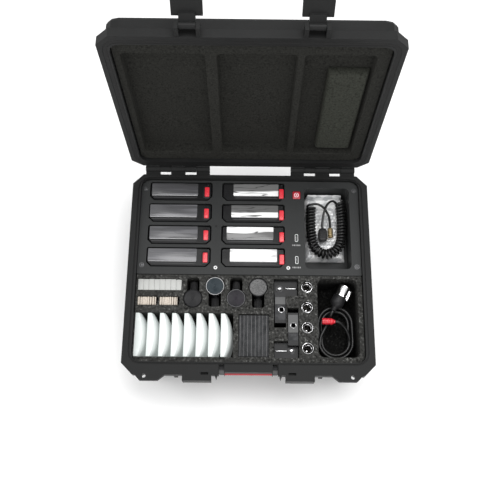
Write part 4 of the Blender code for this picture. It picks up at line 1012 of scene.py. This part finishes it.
# %% [markdown]
# ## The plates and the pads
# The white plates stand side by side like slices, so thin seams show between them. The beige pads are soft
# layers that lean a little; each layer is its own slab, sheared and swollen by a different amount.

# %% The white plates
bm = bmesh.new()
edges = [-0.2390 + 0.01169 * i for i in range(9)]
for i, (a, b) in enumerate(zip(edges, edges[1:])):
    drop = (0.0, 0.0002, 0.0, 0.0003, 0.0001, 0.0, 0.0002, 0.0006)[i]
    add_slab(bm,
             soft_outline(a + 0.0001, b - 0.0001, -0.0427, -0.0183 - drop, 0.0008 if i < 7 else 0.0024, 3),
             0.0403, 0.1395 - drop,
             soften=0.0006, steps=2, lower=0.0006)
keep("plates", bm, plate_white, "plate_stack_body", stands_for=["plate_stack"])

# %% The beige pads
for side, (x0, x1), lean in (("left", (-0.2385, -0.1990), (0.0012, 0.0004)),
                             ("right", (-0.1920, -0.1532), (0.0010, 0.0016))):
    bm = bmesh.new()
    layers = 9
    pitch = (x1 - x0) / layers
    for i in range(layers):
        jitter = 0.0006 * noise.noise(Vector((i * 1.7, x0 * 40.0, 0.0)))
        before = set(bm.verts)
        add_slab(bm,
                 soft_outline(x0 + pitch * i + 0.0003, x0 + pitch * (i + 1) - 0.0002, -0.0753 + abs(jitter),
                              -0.0569 - abs(jitter), 0.0012, 3),
                 0.0804, 0.1378 - 2.0 * abs(jitter), soften=0.0011, steps=3, lower=0.0011)
        for v in bm.verts:
            if v not in before:
                up = (v.co.z - 0.0803) / 0.0577
                give = min(1.0, (x1 - v.co.x) / 0.004, (v.co.x - x0) / 0.004)
                v.co.x += give * (lean[0] * up * math.sin(0.9 * i + 0.4) + lean[1] * (up - 0.5))
                v.co.y = max(-0.0755, min(-0.0567, v.co.y + 0.0003 * noise.noise(v.co * 260.0)))
                v.co.x = max(x0, min(x1, v.co.x))
    pads = keep(f"pads_{side}", bm, pad_felt, f"pad_stack_{side}_body", stands_for=[f"pad_stack_{side}"])
print("plates", len(edges) - 1, "and pads 2 x", layers)

# %% [markdown]
# ## The louvres
# Eight black louvre frames stand side by side. Each is a slab with a raised lip along both sides and nine
# short bars between the lips. The thin strip down the middle of each is a piece of its own, so that it can
# have its own finish.

# %% The louvre frames
bm, pale = bmesh.new(), bmesh.new()
for unit in range(8):
    x = -0.0215 + 0.0079375 * unit
    add_slab(bm, soft_outline(x + 0.0001, x + 0.0078, -0.1845, -0.0960, 0.0009, 3), 0.0453, 0.1368,
             soften=0.0004, lower=0.0005)
    add_slab(bm, soft_outline(x + 0.0001, x + 0.0026, -0.1843, -0.0962, 0.0008, 3), 0.1360, 0.1390,
             soften=0.0004)
    add_slab(bm, soft_outline(x + 0.0052, x + 0.0077, -0.1843, -0.0962, 0.0008, 3), 0.1360, 0.1386,
             soften=0.0004)
    for blade in range(9):
        y = -0.1790 + 0.0097 * blade
        add_block(bm, (x + 0.0024, y, 0.1362), (x + 0.0054, y + 0.0012, 0.1375), 0.0002, 1)
    add_slab(pale, soft_outline(x + 0.0030, x + 0.0040, -0.1838, -0.0966, 0.0003, 2), 0.1366, 0.1384,
             soften=0.0001)
keep("louvres", bm, grey_anodised, "louvre_stack_body", stands_for=["louvre_stack"])
keep("louvre_edges", pale, trim_dark, "louvre_stack_body")

# %% [markdown]
# ## The clamp brackets
# Each bracket keeps its imported shape. On its arm sit a pale patch, painted light for the lit top face, and a
# grey patch, dimmer painted light for the face beside it; a chrome ball sits in the arm's hole, and in the
# dark head a knurled knob with a ball stud and a bar.

# %% Painted light patches, balls and knobs
BRACKETS = {
    "rear": {"pad": (0.0556, 0.0776, -0.0715, -0.0555), "plate": (0.0556, 0.0776, -0.1060, -0.0735),
             "hole": (0.0690, -0.0830),
             "knob": (0.0655, -0.0345), "bar": ((0.0780, -0.0340), (0.1030, -0.0340))},
    "front": {"pad": (0.0832, 0.1039, -0.1325, -0.0945), "plate": (0.0832, 0.1039, -0.1500, -0.1345),
              "hole": (0.0940, -0.1170),
              "knob": (0.0900, -0.1690), "bar": ((0.0560, -0.1700), (0.0800, -0.1700))}}
for where, spot in BRACKETS.items():
    body = f"clamp_bracket_{where}_body"
    hole_x, hole_y = spot["hole"]
    # painted light: the pale patch is the arm's top face where light falls, the grey patch the face beside it
    # in dimmer light
    bm = bmesh.new()
    x0, x1, y0, y1 = spot["pad"]
    if y0 < hole_y < y1:
        add_frame(bm, soft_outline(x0, x1, y0, y1, 0.0012, 5),
                  soft_outline(hole_x - 0.0054, hole_x + 0.0054, hole_y - 0.0054,
                  hole_y + 0.0054, 0.0053, 5), 0.1379, 0.1386)
    else:
        add_pane(bm, x0, x1, y0, y1, 0.1379, 0.1386)
    keep(f"bracket_painted_light_{where}", bm, painted_light_grey, body)
    bm = bmesh.new()
    x0, x1, y0, y1 = spot["plate"]
    if y0 < hole_y < y1:
        add_frame(bm, soft_outline(x0, x1, y0, y1, 0.0012, 5),
                  soft_outline(hole_x - 0.0054, hole_x + 0.0054, hole_y - 0.0054,
                  hole_y + 0.0054, 0.0053, 5), 0.1379, 0.1383)
    else:
        add_pane(bm, x0, x1, y0, y1, 0.1379, 0.1383)
    keep(f"bracket_plate_{where}", bm, grey_anodised, body)
    bm = bmesh.new()
    add_turned(bm,
               [(0.0038 * math.sin(math.pi * i / 14), -0.0038 * math.cos(math.pi * i / 14))
                for i in range(15)],
               (hole_x, hole_y, 0.1055), sides=28)
    add_turned(bm, [(0.0052, 0.0), (0.0052, 0.0005), (0.0060, 0.0009), (0.0066, 0.0005), (0.0066, 0.0)],
               (hole_x, hole_y, 0.1379), sides=36)
    keep(f"bracket_ball_{where}", bm, chrome, body)
    knob_x, knob_y = spot["knob"]
    bm = bmesh.new()
    add_turned(bm,
               [(0.0, 0.1262), (0.0028, 0.1262), (0.0030, 0.1280), (0.0038, 0.1292), (0.0040, 0.1306),
                (0.0034, 0.1322),
                    (0.0020, 0.1331), (0.0, 0.1333)], (knob_x, knob_y, 0.0), sides=28)
    add_rod(bm, (*spot["bar"][0], 0.1275), (*spot["bar"][1], 0.1275), 0.0013, 16, 0.0003)
    keep(f"bracket_stud_{where}", bm, chrome, body)
    bm = bmesh.new()
    add_turned(bm,
               [(0.0, 0.1255), (0.0066, 0.1255), (0.0072, 0.1262), (0.0072, 0.1270), (0.0040, 0.1274),
                (0.0, 0.1274)],
               (knob_x, knob_y, 0.0), sides=32)
    for ridge in range(16):
        angle = math.tau * ridge / 16
        add_rod(bm, (knob_x + 0.0072 * math.cos(angle), knob_y + 0.0072 * math.sin(angle), 0.1257),
                (knob_x + 0.0072 * math.cos(angle), knob_y + 0.0072 * math.sin(angle), 0.1268), 0.0008, 8)
    keep(f"bracket_knob_{where}", bm, black_anodised, body)
print("bracket details:", list(BRACKETS))

# %% [markdown]
# ## The spigots
# A spigot is a chrome stud with a collar and a bore. It is one spun profile with a groove under the collar,
# and a low polished dome stands on the floor of the open bore.

# %% Turn the spigots
for number, y in enumerate((-0.0330, -0.0778, -0.1218, -0.1660), 1):
    bm = bmesh.new()
    add_turned(bm,
               [(0.0, 0.0752), (0.0108, 0.0752), (0.0119, 0.0763), (0.0121, 0.0900), (0.0098, 0.0925),
                (0.0098, 0.1010),
                    (0.0121, 0.1035), (0.0122, 0.1290), (0.0113, 0.1297), (0.0113, 0.1312), (0.0122, 0.1320),
                (0.0122, 0.1376),
                    (0.0117, 0.1388), (0.0108, 0.1390), (0.0102, 0.1382)], (0.1240, y, 0.0), sides=56)
    keep(f"spigot_shell_{number}", bm, chrome, f"spigot_{number}_body", stands_for=[f"spigot_{number}"])
    bm = bmesh.new()
    # painted shade: the bore's wall is given a dark metal colour that stands for the shade inside the bore
    add_turned(bm,
               [(0.0102, 0.1382), (0.0099, 0.1374), (0.0083, 0.1352), (0.0081, 0.1340), (0.0081, 0.1052),
                (0.0078, 0.1048), (0.0, 0.1046)],
               (0.1240, y, 0.0), sides=56)
    keep(f"spigot_bore_{number}", bm, bore_shade_metal, f"spigot_{number}_body")
    bm = bmesh.new()
    add_turned(bm,
               [(0.0, 0.1053), (0.0066, 0.1053)]
               + [(0.0066 * math.cos(math.pi * i / 16), 0.1049 + 0.0058 * math.sin(math.pi * i / 16))
                    for i in range(1, 8)] + [(0.0, 0.1107)], (0.1240, y, 0.0), sides=32)
    add_turned(bm, [(0.0081, 0.1338), (0.0076, 0.1334), (0.0076, 0.1322), (0.0081, 0.1318)],
               (0.1240, y, 0.0), sides=40)
    keep(f"spigot_ball_{number}", bm, chrome, f"spigot_{number}_body")
print("4 spigots")

# %% [markdown]
# ## The carry handle's grip
# The grip is a red sleeve over the bar, moulded with shallow rings and a collar at each end.

# %% Turn the grip
bm = bmesh.new()
rings = [(0.0060 if i % 2 else 0.0056, -0.0440 + 0.0022 * i) for i in range(41)]
add_turned(bm,
           [(0.0046, -0.0502), (0.0058, -0.0502), (0.0060, -0.0496), (0.0060, -0.0462), (0.0056, -0.0455),
            *rings,
                (0.0056, 0.0455), (0.0060, 0.0462), (0.0060, 0.0496), (0.0058, 0.0502), (0.0046, 0.0502)],
           (0.0, -0.2128, 0.1080), along=(1.0, 0.0, 0.0), sides=36)
keep("grip_sleeve", bm, grip_red, "handle", stands_for=["handle_grip"])

# %% [markdown]
# ## The cut foam
# The foams are soft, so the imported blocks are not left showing. A copy of each is merged, its flat areas are
# joined up again, and its cut edges are rounded, because foam gives where a blade passes. The cells
# themselves come from the finish.

# %% Soften a copy of a foam block
def soften_foam(name, node, material, body, give):
    bm = bmesh.new()
    bm.from_mesh(nodes[node].data)
    bmesh.ops.remove_doubles(bm, verts=bm.verts, dist=1e-5)
    bmesh.ops.dissolve_limit(bm, angle_limit=math.radians(1.0), verts=bm.verts, edges=bm.edges)
    cut = [e for e in bm.edges if len(e.link_faces) == 2 and e.calc_face_angle_signed() > math.radians(45.0)]
    bmesh.ops.bevel(bm, geom=cut, offset=give, segments=2, profile=0.5, affect="EDGES", clamp_overlap=True,
                    material=-1)
    bmesh.ops.triangulate(bm, faces=[f for f in bm.faces if len(f.verts) > 4])
    piece = keep(name, bm, material, body, smooth=35.0, stands_for=[node])
    flat = piece.modifiers.new("flat faces", "WEIGHTED_NORMAL")
    flat.keep_sharp = True
    print(name, len(piece.data.polygons), "faces")
    return piece


soften_foam("foam_block", "foam_insert", insert_foam, "case", 0.0009)
soften_foam("foam_slab", "lower_foam", insert_foam, "case", 0.0015)
soften_foam("foam_frame", "lid_foam", charcoal_foam, "lid", 0.0016)

# %% [markdown]
# ## The lid's pad
# An olive foam pad is tucked into the right pocket of the lid. A block is divided into a fine grid, its edges
# sink as a cushion's do, and a slow noise keeps its face from being flat.

# %% Place a point that is given in the lid's own frame
HINGE = Vector((0.0, 0.2385, 0.1500))
LEAN = math.radians(92.0 - 90.0)      # the open lid leans this far past upright


def on_lid(x, back, up):
    """A point of the closed lid, seen from the hinge, turned open."""
    return Vector((x, HINGE.y + back * -math.sin(LEAN) + up * math.cos(LEAN),
                   HINGE.z - back * math.cos(LEAN) - up * math.sin(LEAN)))


# %% Shape the pad
def cushion(bm, x0, x1, y0, y1, low, high, across, along, pull=0.006):
    """A flat-backed pad: a grid with a sunken edge, closed by a flat back."""
    grid = bmesh.ops.create_grid(bm, x_segments=across, y_segments=along, size=0.5)["verts"]
    for v in grid:
        reach = min((0.5 - abs(v.co.x)) * (x1 - x0), (0.5 - abs(v.co.y)) * (y1 - y0))
        crown = 1.0 - max(0.0, 1.0 - reach / pull) ** 2.2
        x, y = x0 + (v.co.x + 0.5) * (x1 - x0), y0 + (v.co.y + 0.5) * (y1 - y0)
        v.co = (x, y, low + (high - low) * (0.25 + 0.75 * crown))
    rim = [e for e in bm.edges if e.is_boundary]
    back = [v for v in bmesh.ops.extrude_edge_only(bm, edges=rim)["geom"]
            if isinstance(v, bmesh.types.BMVert)]
    for v in back:
        v.co.z = low
    bmesh.ops.holes_fill(bm, edges=[e for e in bm.edges if e.is_boundary])


bm = bmesh.new()
cushion(bm, 0.1380, 0.2140, -0.3500, -0.0760, 0.0125, 0.0267, 40, 120)
for v in bm.verts:
    dent = 0.0010 * abs(noise.noise(Vector((v.co.x * 30.0, v.co.y * 24.0, 2.0)))) if v.co.z > 0.0200 else 0.0
    v.co = on_lid(v.co.x, v.co.y, 0.0392 - v.co.z + dent)
pad = keep("lid_cushion", bm, olive_foam, "lid", smooth=50.0, stands_for=["lid_pad"])
print("lid pad", [round(1000 * d) for d in pad.dimensions], "mm")

# %% [markdown]
# ## The parts bag
# The bag under the curly lead is bubble film: two layers with air cells between. The same cushion shape is
# covered with rows of small bubbles and a few long folds, so its film mirrors the light in broken streaks.

# %% Blow up the bag
bm = bmesh.new()
cushion(bm, 0.1245, 0.2150, 0.0420, 0.1965, 0.0783, 0.0935, 110, 190, pull=0.012)
for v in bm.verts:
    if v.co.z > 0.0800:
        column, row = v.co.x / 0.0090, v.co.y / 0.0078
        shifted = column + 0.5 * (round(row) % 2)
        near = math.hypot((shifted - round(shifted)) * 0.0090, (row - round(row)) * 0.0078)
        bubble = math.sqrt(max(0.0, 1.0 - (near / 0.0037) ** 2))
        fold = noise.noise(Vector((v.co.x * 42.0 + v.co.y * 18.0, v.co.y * 9.0, 1.0)))
        crease = noise.noise(Vector((v.co.x * 120.0, v.co.y * 60.0, 4.0)))
        v.co.z = min(0.0958, v.co.z + 0.0005 * bubble + 0.0011 * fold + 0.0005 * crease)
        side = max(0.0, min(1.0, (v.co.x - 0.1270) / 0.005, (0.2125 - v.co.x) / 0.005))
        stand = max(0.0, min(1.0, (v.co.y - 0.1893) / 0.0016, (0.1964 - v.co.y) / 0.0014))
        v.co.z += (0.0262 + 0.0010 * crease) * stand * side * side * (3 - 2 * side)
bag = keep("bubble_bag", bm, bag_film, "case", smooth=60.0, stands_for=["parts_bag"])
print("bag", len(bag.data.polygons), "faces")
